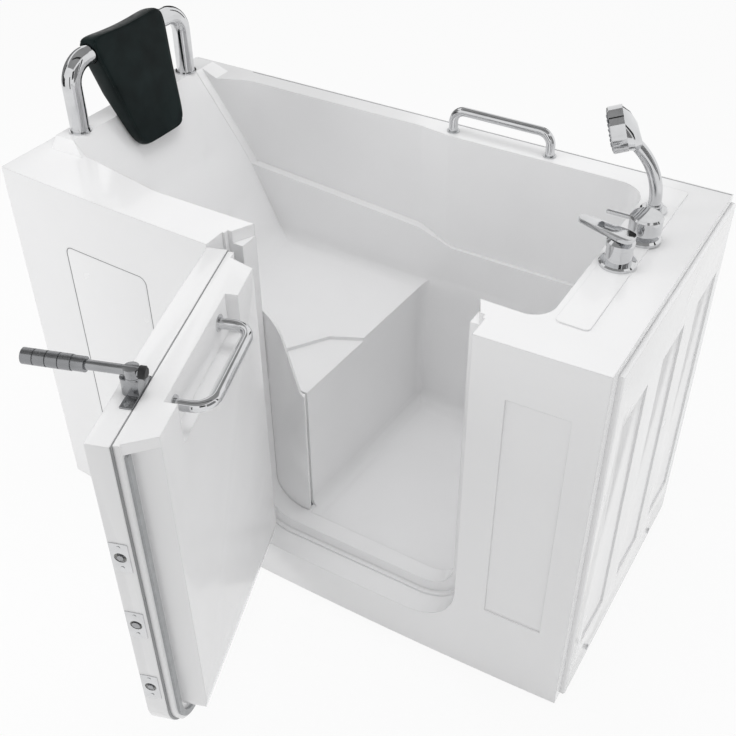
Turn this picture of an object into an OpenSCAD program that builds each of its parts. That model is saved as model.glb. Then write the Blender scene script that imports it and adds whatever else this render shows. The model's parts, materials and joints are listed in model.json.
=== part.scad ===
// Walk-in bathtub with an outward-opening door, a moulded seat and deck-mounted taps.
// Millimetres, +Z up. The origin is on the floor under the middle of the tub,
// X runs along the tub towards the taps and Y from the door towards the wall behind.

/* [Tub] */
// Length of the tub
tub_l = 1350; // [1300:5:1450]
// Width of the tub at its ends
tub_w = 660; // [650:5:720]
// Height of the deck
deck_z = 896; // [886:2:930]
// How far the front bows out at its middle
front_bow = 20; // [5:1:30]
// Thickness of the moulded shell
wall = 6; // [4:0.5:7]
// Gap between the skirts and the floor
skirt_gap = 4; // [2:1:10]
// Width of the deck along the wall behind
back_deck_w = 50; // [46:1:60]
// Width of the deck beside the doorway
front_deck_w = 85; // [80:1:90]
// Width of the deck that holds the taps
tap_deck_w = 151; // [145:1:160]
// Width of the deck behind the backrest
head_deck_w = 97; // [90:1:105]

/* [Basin] */
// Height of the footwell floor
floor_z = 130; // [124:1:136]
// Height of the seat
seat_z = 496; // [440:2:520]
// Depth of the lowered front part of the seat
seat_step = 8; // [4:1:14]
// Distance from the left jamb to the seat front
seat_reach = 119; // [110:1:135]
// Lean of the backrest from the vertical, in degrees
back_lean = 25.8; // [20:0.2:28]
// Width of the ledge along the back wall
ledge_w = 10; // [6:1:14]
// Height of the high end of that ledge
ledge_high_z = 648; // [600:2:700]
// Height of the low end of that ledge
ledge_low_z = 617; // [580:2:640]
// Fillet between the floor and the walls
floor_r = 35; // [15:1:45]
// Diameter of the backrest dimples
dimple_d = 48; // [30:1:60]
// Depth of the backrest dimples
dimple_depth = 3.5; // [2:0.5:4]
// Radius of the waste hole
waste_r = 24; // [20:0.5:26]

/* [Headrest] */
// Height of the headrest block above the deck
block_h = 24; // [15:1:35]
// Diameter of the headrest bar
head_bar_d = 42; // [32:1:45]
// Height of the headrest bar above its block
head_bar_h = 150; // [130:2:180]
// Distance between the feet of the headrest bar
head_bar_span = 361; // [340:2:400]
// Bend radius of the headrest bar
head_bar_bend = 50; // [40:1:60]
// Width of the pad at its top
pad_top_w = 240; // [200:2:250]
// Width of the pad at its bottom
pad_low_w = 146; // [120:2:200]
// Length of the pad
pad_l = 268; // [220:2:290]
// Thickness of the pad at the bar
pad_top_t = 56; // [54:1:70]
// Thickness of the pad at its bottom
pad_low_t = 28; // [22:1:36]
// Lean of the pad from the vertical, in degrees
pad_lean = 14.7; // [14:0.1:20]

/* [Doorway] */
// Distance from the tub's middle to the left jamb
jamb_x = 116; // [110:1:125]
// Width of the outer opening
open_w = 550; // [540:1:556]
// Height of the outer sill
sill_z = 109; // [104:1:115]
// Radius of the opening's lower corners
corner_r = 110; // [90:2:120]
// Depth of the outer part of the opening
rebate_n = 49; // [47:0.5:52]
// Step from the outer part to the rim's part of the opening
rim_step = 5; // [4:0.5:6]
// Depth at which the door stop stands
stop_n = 60; // [59:0.5:64]
// Width of the stop ledge beside the opening
stop_w = 32; // [28:1:34]
// Height of the stop ledge above the sill
stop_rise = 33; // [30:1:36]
// Height below the deck where the jamb ledges lie
notch_h = 26; // [22:1:32]

/* [Door] */
// Gap between the door and the jambs
door_gap = 5; // [4.5:0.1:6]
// Gap between the door and the sill
sill_gap = 6; // [5:0.5:8]
// Thickness of the outer skin's box
skin_n = 40; // [36:0.5:42]
// Thickness of the seam trim
trim_n = 3; // [2:0.5:4]
// Thickness of the rim behind the trim
rim_n = 11; // [8:0.5:12]
// Depth of the whole door
door_n = 104; // [98:1:106]
// Wall thickness of the door mouldings
door_wall = 5; // [3:0.5:6]
// Height of the door's top flange
flange_h = 22; // [16:1:24]
// Width of the gasket strip
gasket_w = 12; // [8:1:13]
// Angle by which the door stands open
door_open = 72.2; // [0:0.1:110]
// Diameter of the door handle
handle_d = 20; // [16:1:24]
// Distance between the legs of the door handle
handle_span = 217; // [200:1:230]
// Diameter of the hinge pins
hinge_pin_d = 5; // [4:0.5:6]
// Height of each hinge
hinge_h = 90; // [70:2:100]

/* [Latch] */
// Length of the lever's grip
grip_l = 106; // [90:1:130]
// Diameter of the lever's grip
grip_d = 27; // [22:1:32]
// Diameter of the lever's rod
rod_d = 17; // [12:1:20]
// Diameter of the vertical latch shaft
shaft_d = 12; // [10:0.5:14]
// Diameter of the bolts
bolt_d = 18; // [14:0.5:20]
// Travel of the bolts
bolt_throw = 14; // [10:1:15]
// Height of the latch faceplates
faceplate_h = 67; // [60:1:76]

/* [Grab bar] */
// Diameter of the grab bar
grab_d = 20; // [18:1:25]
// Distance between its feet
grab_span = 229; // [200:2:260]
// Height of the grab bar's middle above the deck
grab_h = 52; // [45:1:60]

/* [Taps] */
// Height of the raised plateau under the taps
plateau_h = 2.5; // [1:0.5:4]
// Radius of the mixer's base ring
mixer_ring_r = 35; // [30:0.5:38]
// Radius of the mixer body
mixer_r = 24.5; // [20:0.5:27]
// Length of the mixer's lever
mixer_lever_l = 90; // [70:1:95]
// Radius of the valve's cap
valve_r = 31; // [26:0.5:33]
// Radius of the valve's base ring
valve_ring_r = 33; // [28:0.5:35]
// Diameter of the hand shower's face
shower_d = 88; // [70:1:95]
// Diameter of the hand shower's handle
shower_grip_d = 25; // [22:0.5:28]

/* [End panel] */
// Thickness of the end panel
panel_t = 16; // [12:0.5:18]
// Depth of the panels' recesses
recess_d = 4.5; // [2:0.5:6]
// Number of recesses in the end panel
recess_n = 3; // [2:1:4]

/* [Frame and feet] */
// Side of the square frame tubes
tube_s = 30; // [25:1:32]
// Wall of the square frame tubes
tube_t = 2; // [1.5:0.5:3]
// Radius of the feet
foot_r = 22; // [18:1:28]
// Diameter of the foot screws
foot_screw_d = 12; // [10:1:14]

/* [Hidden] */

hl = tub_l / 2;
hw = tub_w / 2;
far = 2000;
top_z = deck_z + 80;
run_gap = 0.05;
seat_gap = 0.3;

// ---- outline functions ----

function bends(a, b, c) = abs((b.x - a.x) * (c.y - b.y) - (b.y - a.y) * (c.x - b.x)) > 0.001;

// Arc of radius r that rounds the corner b between a and c
function corner_arc(a, b, c, r, steps) =
  r <= 0 || !bends(a, b, c) ? [b] :
  let (
    u = (a - b) / norm(a - b),
    v = (c - b) / norm(c - b),
    half = acos(u * v) / 2,
    reach = r / tan(half),
    centre = b + (u + v) / norm(u + v) * r / sin(half),
    start = b + u * reach - centre,
    end = b + v * reach - centre,
    from = atan2(start.y, start.x),
    turn = atan2(end.y, end.x) - from,
    sweep = turn > 180 ? turn - 360 : turn < -180 ? turn + 360 : turn
  )
  [for (k = [0:steps]) centre + r * [cos(from + sweep * k / steps), sin(from + sweep * k / steps)]];

// Closed outline with each corner rounded by its own radius
function rounded(pts, radii, steps = 8) =
  let (n = len(pts))
  [for (i = [0:n - 1])
    each corner_arc(pts[(i + n - 1) % n], pts[i], pts[(i + 1) % n], radii[i], steps)];

// Counter-clockwise outline pushed outwards by g
function grown(pts, g) =
  let (n = len(pts))
  [for (i = [0:n - 1])
    let (
      before = pts[i] - pts[(i + n - 1) % n],
      after = pts[(i + 1) % n] - pts[i],
      n1 = [before.y, -before.x] / norm(before),
      n2 = [after.y, -after.x] / norm(after)
    )
    pts[i] + g * (n1 + n2) / (1 + n1 * n2)];

module along_y(y0, y1) {
  translate([0, y1, 0]) rotate([90, 0, 0]) linear_extrude(y1 - y0) children();
}

module along_x(x0, x1) {
  translate([x0, 0, 0]) rotate([90, 0, 90]) linear_extrude(x1 - x0) children();
}

module along_z(z0, z1) {
  translate([0, 0, z0]) linear_extrude(z1 - z0) children();
}

module tube(r_out, r_in, h) {
  difference() {
    cylinder(r = r_out, h = h, $fn = 64);
    translate([0, 0, -1]) cylinder(r = r_in, h = h + 2, $fn = 64);
  }
}

// Handle shaped like a bridge: two legs, two bends and a bar, legs along +Z from z = 0
module bridge_bar(span, height, d, bend, foot = 0) {
  for (side = [0, 1])
    translate([side * span, 0, 0]) rotate([0, 0, side * 180]) {
      translate([0, 0, -foot]) cylinder(d = d, h = height - bend + foot, $fn = 48);
      translate([bend, 0, height - bend]) rotate([90, 0, 180])
        rotate_extrude(angle = 90, $fn = 96) translate([bend, 0]) circle(d = d, $fn = 48);
    }
  translate([bend, 0, height]) rotate([0, 90, 0]) cylinder(d = d, h = span - 2 * bend, $fn = 48);
}

// Screw with a pan head above z = 0 and its shank below
module pan_screw(head_r, head_h, shank_r, shank_l) {
  cylinder(r = head_r, h = head_h, $fn = 32);
  translate([0, 0, -shank_l]) cylinder(r = shank_r, h = shank_l, $fn = 24);
}

// ---- tub front and doorway ----

bow_steps = 24;
function front_y(x) = -hw - front_bow * (1 - pow(x / hl, 2));
function front_edge(inset) =
  [for (i = [0:bow_steps]) let (x = -hl + tub_l * i / bow_steps) [x, front_y(x) + inset]];
function backwards(list) = [for (i = [len(list) - 1:-1:0]) list[i]];

// Upright layer that follows the bowed front, between two depths behind it
module front_layer(depth0, depth1, z0, z1) {
  along_z(z0, z1) polygon(concat(front_edge(depth0), backwards(front_edge(depth1))));
}

door_x = -jamb_x;
door_y = front_y(door_x);
door_tilt = atan2(front_y(door_x + open_w) - door_y, open_w);

// The doorway's own frame: X along the opening from the left jamb, Y into the tub
module at_door() {
  translate([door_x, door_y, 0]) rotate([0, 0, door_tilt]) children();
}

// U-shaped outline from a0 to a1 with its bottom at z0
function u_outline(a0, a1, z0, r, top) =
  rounded([[a0, z0], [a1, z0], [a1, top], [a0, top]], [r, r, 0, 0], 14);

bead_rise = 5;
stop_z = sill_z + stop_rise;
stop_a0 = rim_step + stop_w;
stop_a1 = open_w - stop_w;
stop_r = corner_r - stop_w - 3;
notch_z = deck_z - notch_h;
notch_slope = 22;
inner_n = front_deck_w + front_bow;

// Room that the doorway leaves in the shell, grown by g
module doorway(g = 0) {
  through = inner_n + (g > 0 ? 0 : 20);
  along_y(-far, rebate_n + g)
    polygon(u_outline(-g, open_w + g, sill_z - g, corner_r + g, top_z));
  along_y(-far, stop_n + g)
    polygon(u_outline(rim_step - g, open_w - rim_step + g, sill_z + bead_rise - g,
      corner_r - bead_rise + g, top_z));
  along_y(-far, through)
    polygon(u_outline(stop_a0 - g, stop_a1 + g, stop_z - g, stop_r + g, top_z));
  along_z(notch_z - g, top_z)
    polygon(grown([[stop_a0 - 2 - notch_slope, stop_n - 1], [open_w - 13, stop_n - 1],
      [stop_a1 - 3, door_n], [stop_a1 - 3, through], [stop_a0 - 2, through], [stop_a0 - 2, door_n]], g));
}

// ---- basin ----

back_x = -hl + head_deck_w;
front_in = -hw + front_deck_w;
back_in = hw - back_deck_w;
right_in = hl - tap_deck_w;
back_low = back_in - ledge_w - 12;
right_low = right_in - 12;
wall_draft = 3.7;
seat_x = door_x + seat_reach;
seat_skew = 2.6;
left_far = back_x - 60;
dimple_ball = (dimple_d * dimple_d / 4 + dimple_depth * dimple_depth) / (2 * dimple_depth);

function backrest_x(z) = back_x + (deck_z - z) * tan(back_lean);
function right_low_x(z) = right_low - (deck_z - z) * tan(wall_draft);
function right_top_x(z) = right_in - (deck_z - z) * tan(wall_draft);

// Plan of the basin with its back wall at y = back, tapering towards the backrest
function basin_plan(back, right, jog = 0) =
  [[left_far, front_in + 55], [-330, front_in], [right, front_in], [right, back],
   [70, back], [-5, back + jog], [-480, back + jog], [left_far, back + jog - 60]];
plan_radii = [0, 150, 45, 62, 60, 60, 130, 0];

// Region bounded by a side outline, a plan and a cross outline, all grown by g
module moulded(side, side_r, plan, plan_r, cross, cross_r, g) {
  intersection() {
    along_y(-far, far) polygon(rounded(grown(side, g), side_r));
    along_z(0, top_z + g) polygon(rounded(grown(plan, g), plan_r));
    along_x(-far, far) polygon(rounded(grown(cross, g), cross_r));
  }
}

// Room above the seat
module seat_room(g) {
  moulded(
    [[backrest_x(top_z), top_z], [backrest_x(seat_z), seat_z], [right_low_x(seat_z), seat_z],
     [right_low_x(top_z), top_z]],
    [0, 70, 0, 0],
    basin_plan(back_low, right_low), plan_radii,
    [[front_in, seat_z], [back_low, seat_z], [back_low, top_z], [front_in, top_z]],
    [20, 30, 0, 0], g);
}

// Lowered front part of the seat, fading towards the backrest
module seat_front_step(g) {
  along_z(seat_z - seat_step - g, seat_z + 40)
    polygon(grown([[seat_x - 190, front_in + 12], [seat_x + 30, front_in + 12],
      [seat_x + 30, front_in + 250], [seat_x - 60, front_in + 205]], g));
}

// Room between the seat and the tap end, down to the floor
module footwell(g) {
  intersection() {
    moulded(
      [[seat_x - 90, floor_z], [right_low_x(floor_z), floor_z],
       [right_low_x(seat_z + 60), seat_z + 60], [seat_x - 90, seat_z + 60]],
      [0, floor_r, 0, 0],
      [[seat_x, front_in], [right_low, front_in], [right_low, back_low],
       [seat_x + (back_low - front_in) * tan(seat_skew), back_low]],
      [16, 45, 60, 30],
      [[front_in, floor_z], [back_low - 9, floor_z], [back_low - 1, seat_z + 60],
       [front_in, seat_z + 60]],
      [8, floor_r, 0, 0], g);
    translate([seat_x, front_in, 0]) rotate([0, 0, -seat_skew]) along_y(-far, far)
      polygon(rounded([[-g, floor_z - g], [far, floor_z - g], [far, top_z], [-g, top_z]],
        [floor_r, 0, 0, 0]));
  }
}

// Wider room above the ledge on the back wall, which ends this far in front of the backrest
ledge_set = 1;
ledge_x0 = seat_x + 2;
ledge_x1 = seat_x + 91;
module ledge_room(g) {
  ledge_start = ledge_high_z + 36;
  moulded(
    [[backrest_x(top_z) + ledge_set, top_z], [backrest_x(ledge_start) + ledge_set, ledge_start],
     [ledge_x0, ledge_high_z],
     [ledge_x1, ledge_low_z], [right_top_x(ledge_low_z), ledge_low_z], [right_top_x(top_z), top_z]],
    [0, 0, 60, 60, 20, 0],
    basin_plan(back_in - 12, right_in, 12), plan_radii,
    [[front_in, ledge_low_z - 1], [back_in, ledge_low_z - 1], [back_in, top_z], [front_in, top_z]],
    [0, 0, 0, 0], g);
}

module basin(g = 0) {
  seat_room(g);
  seat_front_step(g);
  footwell(g);
  ledge_room(g);
}

dimple_y = 28;
dimple_spread = [112, 101];
dimple_z = [750, 611];

module dimples() {
  for (row = [0, 1])
    for (side = [-1, 1])
      translate([backrest_x(dimple_z[row]), dimple_y + side * dimple_spread[row], dimple_z[row]])
        rotate([0, -back_lean, 0]) translate([dimple_ball - dimple_depth, 0, 0])
          sphere(r = dimple_ball, $fn = 96);
}

// Wing that closes the door end of the seat, with its top sweeping down
wing_n = door_n + 2;
module seat_wing() {
  at_door() along_y(wing_n, wing_n + wall)
    polygon(rounded(
      [[stop_a0 - wall - 2, floor_z - wall], [seat_reach + wall, floor_z - wall],
       [seat_reach + 7, seat_z - 5], [seat_reach - 3, seat_z + 2], [68, seat_z + 170],
       [stop_a0 - wall - 2, seat_z + 196]],
      [0, 0, 0, 8, 110, 0]));
}

// ---- headrest block, plateau and panels of the shell ----

block_x0 = -hl + 32;
block_wall = 1.3 * wall;
block_y0 = -hw + 132;
block_y1 = hw - 48;
block_top = deck_z + block_h;

module headrest_block(g = 0) {
  low = deck_z - wall + g;
  intersection() {
    along_y(-far, far)
      polygon(grown([[block_x0, low], [back_x + 21, low], [back_x + 21, deck_z],
        [back_x - 11, block_top], [block_x0 + 2, block_top], [block_x0, deck_z]], g));
    along_x(-far, far)
      polygon(grown([[block_y0 - 18, low], [block_y1 + 18, low], [block_y1 + 17, deck_z],
        [block_y1, block_top], [block_y0, block_top], [block_y0 - 17, deck_z]], g));
  }
}

// Room in front of the backrest, with a wall's thickness behind its face
module backrest_front() {
  along_y(-far, far)
    polygon([[backrest_x(deck_z - 2 * wall) - block_wall, deck_z - 2 * wall], [far, deck_z - 2 * wall],
      [far, top_z], [backrest_x(top_z) - block_wall, top_z]]);
}

tap_z = deck_z + plateau_h;
plateau_x0 = right_in + 12;
plateau_x1 = hl - 77;

module plateau() {
  along_z(deck_z - 1, tap_z)
    polygon(rounded([[plateau_x0, front_in + 5], [plateau_x1, front_in + 5],
      [plateau_x1, hw - 40], [plateau_x0, hw - 40]], [10, 10, 10, 10]));
}

hatch_x0 = -hl + 154;
hatch_x1 = -hl + 382;
hatch_z0 = 130;
hatch_z1 = deck_z - 142;
hatch_gap = 1.2;

module hatch_outline(shrink) {
  polygon(rounded(
    [[hatch_x0 + shrink, hatch_z0 + shrink], [hatch_x1 - shrink, hatch_z0 + shrink],
     [hatch_x1 - shrink, hatch_z1 - shrink], [hatch_x0 + shrink, hatch_z1 - shrink]],
    [18 - shrink, 18 - shrink, 18 - shrink, 18 - shrink]));
}

front_recess_x0 = door_x + open_w + 68;
front_recess_x1 = hl - 54;
front_recess_z0 = 210;
front_recess_z1 = deck_z - 117;

// Band behind the front's surface, down to a depth
module front_band(depth) {
  along_z(0, deck_z) polygon(concat([[-hl, -far], [hl, -far]], backwards(front_edge(depth))));
}

module body_outline() {
  polygon(concat(front_edge(0), [[hl, hw], [-hl, hw]]));
}

edge_lip = 16;
back_lip = 40;
return_w = 30;

module skirts() {
  front_layer(0, wall, skirt_gap, deck_z);
  translate([-hl, -hw, skirt_gap]) cube([wall, tub_w, deck_z - skirt_gap]);
  translate([hl - wall, -hw, skirt_gap]) cube([wall, return_w, deck_z - skirt_gap]);
  translate([hl - wall, -hw, deck_z - edge_lip]) cube([wall, tub_w, edge_lip]);
  translate([-hl, hw - wall, deck_z - back_lip]) cube([tub_l - wall, wall, back_lip]);
  along_z(deck_z - wall, deck_z) body_outline();
}

drain_x = right_low - 120;
drain_y = front_in + 115;
overflow_z = deck_z - 116;
overflow_y = drain_y;
overflow_x = right_top_x(overflow_z);
overflow_hole_r = 20;

mixer_x = hl - 109;
mixer_y = -24;
valve_x = hl - 97;
valve_y = 77;
holder_x = hl - 115;
holder_y = 185;
shank_r = 12;
tap_spots = [[mixer_x, mixer_y], [valve_x, valve_y], [holder_x, holder_y]];

head_bar_x = -hl + 65;
head_bar_y = 25;
head_stud_r = 6;
grab_x = 182;
grab_y = hw - 37;
grab_stud_r = 4;
head_feet = [for (side = [-1, 1]) [head_bar_x, head_bar_y + side * head_bar_span / 2]];
grab_feet = [for (side = [-1, 1]) [grab_x + side * grab_span / 2, grab_y]];

module tub_shell() {
  color([0.96, 0.96, 0.96]) {
    difference() {
      union() {
        skirts();
        plateau();
        difference() {
          headrest_block();
          difference() {
            headrest_block(-wall);
            backrest_front();
          }
        }
        intersection() {
          along_z(0, deck_z) body_outline();
          union() {
            basin(wall);
            at_door() doorway(wall);
          }
        }
      }
      basin();
      at_door() doorway();
      at_door() strike_pockets();
      dimples();
      front_recess();
      intersection() {
        along_y(-far, 0) hatch_outline(0);
        front_layer(-1, wall + 1, 0, deck_z);
      }
      translate([drain_x, drain_y, 0]) cylinder(r = waste_r, h = seat_z, $fn = 64);
      at_overflow() translate([0, 0, -40]) cylinder(r = overflow_hole_r, h = 80, $fn = 64);
      for (spot = tap_spots)
        translate([spot.x, spot.y, deck_z - 40]) cylinder(r = shank_r + 1, h = 80, $fn = 48);
      for (spot = head_feet)
        translate([spot.x, spot.y, deck_z - 40]) cylinder(r = head_stud_r + 0.5, h = 80, $fn = 32);
      for (spot = grab_feet)
        translate([spot.x, spot.y, deck_z - 40]) cylinder(r = grab_stud_r + 0.5, h = 80, $fn = 32);
    }
    seat_wing();
  }
}

module front_recess() {
  intersection() {
    front_band(recess_d - 1.5);
    along_y(-far, 0)
      polygon([[front_recess_x0, front_recess_z0], [front_recess_x1, front_recess_z0],
        [front_recess_x1, front_recess_z1], [front_recess_x0, front_recess_z1]]);
  }
}

// ---- removable panels ----

module access_panel() {
  color([0.95, 0.95, 0.95])
    intersection() {
      front_layer(0, wall, 0, deck_z);
      along_y(-far, 0) hatch_outline(hatch_gap);
    }
}

clip_w = 30;
clip_h = 16;
clip_t = 4;
module access_panel_clips() {
  color([0.6, 0.62, 0.64])
    for (x = [hatch_x0, hatch_x1])
      for (z = [hatch_z0 + 90, hatch_z1 - 90])
        intersection() {
          front_layer(wall, wall + clip_t, z - clip_h / 2, z + clip_h / 2);
          translate([x - clip_w / 2, -far, 0]) cube([clip_w, far, deck_z]);
        }
}

panel_x1 = hl + 10;
panel_x0 = panel_x1 - panel_t;
panel_y0 = -hw + return_w;
panel_z1 = deck_z - edge_lip - 2;
panel_chamfer = 3;
panel_recess_z0 = 122;
panel_recess_z1 = deck_z - 161;
panel_pocket = panel_t - recess_d - 5;
screw_z = 27;
screw_ys = [hw - 120, panel_y0 + 120];

module end_panel() {
  inside_y0 = panel_y0 + 18;
  inside_w = hw - 18 - inside_y0;
  pitch = (hw - panel_y0 - 8) / recess_n;
  color([0.95, 0.95, 0.95])
    difference() {
      intersection() {
        along_z(skirt_gap, panel_z1)
          polygon([[panel_x0, panel_y0], [panel_x1 - panel_chamfer, panel_y0],
            [panel_x1, panel_y0 + panel_chamfer], [panel_x1, hw - panel_chamfer],
            [panel_x1 - panel_chamfer, hw], [panel_x0, hw]]);
        along_y(-far, far)
          polygon([[panel_x0, skirt_gap], [panel_x1 - panel_chamfer, skirt_gap],
            [panel_x1, skirt_gap + panel_chamfer], [panel_x1, panel_z1 - panel_chamfer],
            [panel_x1 - panel_chamfer, panel_z1], [panel_x0, panel_z1]]);
      }
      translate([panel_x0 - 1, inside_y0, screw_z + 30])
        cube([panel_pocket + 1, inside_w, panel_z1 - screw_z - 50]);
      for (i = [0:recess_n - 1])
        translate([panel_x1 - recess_d, hw - 38 - pitch * i - pitch * 0.6, panel_recess_z0])
          cube([recess_d + 1, pitch * 0.6, panel_recess_z1 - panel_recess_z0]);
      for (y = screw_ys)
        translate([panel_x0 - 1, y, screw_z]) rotate([0, 90, 0])
          cylinder(r = 2.6, h = panel_t + 2, $fn = 24);
    }
}

module end_panel_screws() {
  color("silver")
    for (y = screw_ys)
      translate([panel_x1, y, screw_z]) rotate([0, 90, 0]) pan_screw(6.5, 2.5, 2.5, panel_t + 4);
}

// ---- frame, feet and plumbing ----

rail_y = hw - 140;
rail_z = floor_z - wall - tube_s;
rail_x0 = -hl + 40;
rail_x1 = panel_x0;
cross_xs = [-hl + 75, 0, hl - 40];
foot_x0 = -hl + 115;
foot_x1 = hl - 90;
foot_spots = [[foot_x0, -rail_y], [foot_x0, rail_y], [foot_x1, -rail_y], [foot_x1, rail_y], [0, 0]];
foot_pad_h = 10;
screw_top = rail_z + tube_s - 8;

// Square tube along X, seen from its end in the plane YZ
module square_tube(len) {
  difference() {
    translate([0, -tube_s / 2, 0]) cube([len, tube_s, tube_s]);
    translate([-1, -tube_s / 2 + tube_t, tube_t])
      cube([len + 2, tube_s - 2 * tube_t, tube_s - 2 * tube_t]);
  }
}

module base_frame() {
  cross_l = 2 * rail_y - tube_s;
  tab_h = rail_z + tube_s - screw_z + 8;
  color([0.45, 0.47, 0.5])
    difference() {
      union() {
        for (side = [-1, 1])
          translate([rail_x0, side * rail_y, rail_z]) square_tube(rail_x1 - rail_x0 - 4);
        for (x = cross_xs)
          translate([x, -cross_l / 2, rail_z]) rotate([0, 0, 90]) square_tube(cross_l);
        for (y = [-rail_y, rail_y]) {
          post(-hl + 345, y, seat_z - wall);
          post(seat_x - 90, y, seat_z - wall - (y < 0 ? seat_step : 0));
        }
        for (y = screw_ys)
          translate([rail_x1 - 4, y - 15, screw_z - 8]) cube([4, 30, tab_h]);
        translate([rail_x1 - 4, -rail_y, rail_z]) cube([4, 2 * rail_y, tube_s]);
      }
      for (spot = foot_spots)
        translate([spot.x, spot.y, rail_z - 1])
          cylinder(d = foot_screw_d + 1, h = tube_t + 2, $fn = 32);
      for (y = screw_ys)
        translate([rail_x1 - 5, y, screw_z]) rotate([0, 90, 0]) cylinder(r = 2.55, h = 6, $fn = 24);
    }
}

// Upright square tube that carries the seat
module post(x, y, top) {
  translate([x, y, rail_z + tube_s]) rotate([0, -90, 0]) square_tube(top - rail_z - tube_s);
}

module at_feet() {
  for (spot = foot_spots)
    translate([spot.x, spot.y, 0]) children();
}

module levelling_feet() {
  color([0.5, 0.52, 0.55])
    at_feet() {
      cylinder(r = foot_r, h = foot_pad_h * 0.6, $fn = 48);
      translate([0, 0, foot_pad_h * 0.6])
        cylinder(r1 = foot_r, r2 = foot_screw_d / 2 + 2, h = foot_pad_h * 0.4, $fn = 48);
      cylinder(d = foot_screw_d, h = screw_top, $fn = 32);
    }
}

module foot_nuts() {
  color("silver")
    at_feet() translate([0, 0, rail_z - 9])
      difference() {
        cylinder(d = foot_screw_d * 1.9, h = 9, $fn = 6);
        translate([0, 0, -1]) cylinder(r = foot_screw_d / 2 + run_gap, h = 11, $fn = 32);
      }
}

flange_r = waste_r + 12;
pipe_r = 20;
pipe_z = 55;
plug_r = waste_r - 5;
module drain_flange() {
  color([0.85, 0.86, 0.88])
    translate([drain_x, drain_y, 0])
      difference() {
        union() {
          translate([0, 0, floor_z]) cylinder(r1 = flange_r, r2 = flange_r - 3, h = 2.5, $fn = 64);
          translate([0, 0, floor_z - 28]) cylinder(r = waste_r - 0.5, h = 29, $fn = 64);
        }
        translate([0, 0, floor_z - 20]) cylinder(r = plug_r + 1, h = 40, $fn = 64);
        translate([0, 0, floor_z - 30]) cylinder(r = plug_r - 3, h = 12, $fn = 64);
        translate([0, 0, floor_z + 0.5]) cylinder(r1 = plug_r + 1, r2 = plug_r + 5, h = 2.5, $fn = 64);
      }
}

plug_guide_z = floor_z - 18;
module drain_plug() {
  color("silver")
    translate([drain_x, drain_y, 0]) {
      translate([0, 0, floor_z - 1]) cylinder(r = plug_r, h = 1.5, $fn = 64);
      translate([0, 0, floor_z + 0.5]) cylinder(r1 = plug_r + 0.7, r2 = plug_r + 3.9, h = 2, $fn = 64);
      translate([0, 0, floor_z + 2.5]) cylinder(r1 = plug_r + 3.9, r2 = plug_r - 4, h = 1.6, $fn = 64);
      translate([0, 0, plug_guide_z - 20]) cylinder(r = 4, h = 20 + 18, $fn = 32);
    }
}

spigot_l = 45;
riser_r = 16;
pipe_wall = 2.5;
module waste_pipe() {
  top = floor_z - 28;
  out_y = hw - 20;
  color([0.9, 0.9, 0.88])
    difference() {
      union() {
        translate([drain_x, drain_y, pipe_z]) cylinder(r = waste_r - 0.5, h = top - pipe_z, $fn = 64);
        translate([drain_x, drain_y, pipe_z]) sphere(r = waste_r - 0.5, $fn = 64);
        translate([drain_x, drain_y, pipe_z]) rotate([-90, 0, 0]) {
          cylinder(r = pipe_r + 1.5, h = out_y - spigot_l - drain_y, $fn = 64);
          cylinder(r = pipe_r, h = out_y - drain_y, $fn = 64);
        }
        translate([drain_x, drain_y, pipe_z]) rotate([0, 90, 0])
          cylinder(r = riser_r, h = overflow_pipe_x - drain_x, $fn = 48);
        translate([overflow_pipe_x, drain_y, pipe_z]) sphere(r = riser_r, $fn = 48);
        translate([overflow_pipe_x, drain_y, pipe_z]) cylinder(r = riser_r, h = 26, $fn = 48);
        translate([overflow_pipe_x, drain_y, pipe_z + 22]) cylinder(r = riser_r + 4, h = 24, $fn = 48);
      }
      translate([drain_x, drain_y, pipe_z]) cylinder(r = waste_r - 3.5, h = top, $fn = 64);
      translate([drain_x, drain_y, pipe_z]) rotate([-90, 0, 0])
        cylinder(r = pipe_r - pipe_wall, h = tub_w, $fn = 64);
      translate([drain_x, drain_y, pipe_z]) rotate([0, 90, 0])
        cylinder(r = riser_r - pipe_wall, h = overflow_pipe_x - drain_x, $fn = 48);
      translate([overflow_pipe_x, drain_y, pipe_z]) cylinder(r = riser_r - pipe_wall, h = 60, $fn = 48);
      translate([overflow_pipe_x, drain_y, pipe_z + 26]) cylinder(r = riser_r + 0.1, h = 60, $fn = 48);
    }
}

overflow_pipe_x = overflow_x + 40;
module at_overflow() {
  translate([overflow_x, overflow_y, overflow_z]) rotate([0, 90 + wall_draft, 0]) children();
}

module overflow_plate() {
  color("silver")
    at_overflow()
      difference() {
        union() {
          translate([0, 0, -10]) cylinder(r = 36, h = 3, $fn = 64);
          translate([0, 0, -7]) cylinder(r = 30, h = 7, $fn = 64);
          translate([0, 0, -1]) cylinder(r = overflow_hole_r - 0.5, h = wall + 5, $fn = 64);
        }
        translate([0, 0, -5]) cylinder(r = overflow_hole_r - 4, h = 40, $fn = 64);
        for (turn = [0:60:300])
          rotate([0, 0, turn]) translate([33, 0, -5]) rotate([0, 90, 0])
            translate([0, 0, -14]) cylinder(r = 1.8, h = 20, $fn = 24);
      }
}

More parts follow.
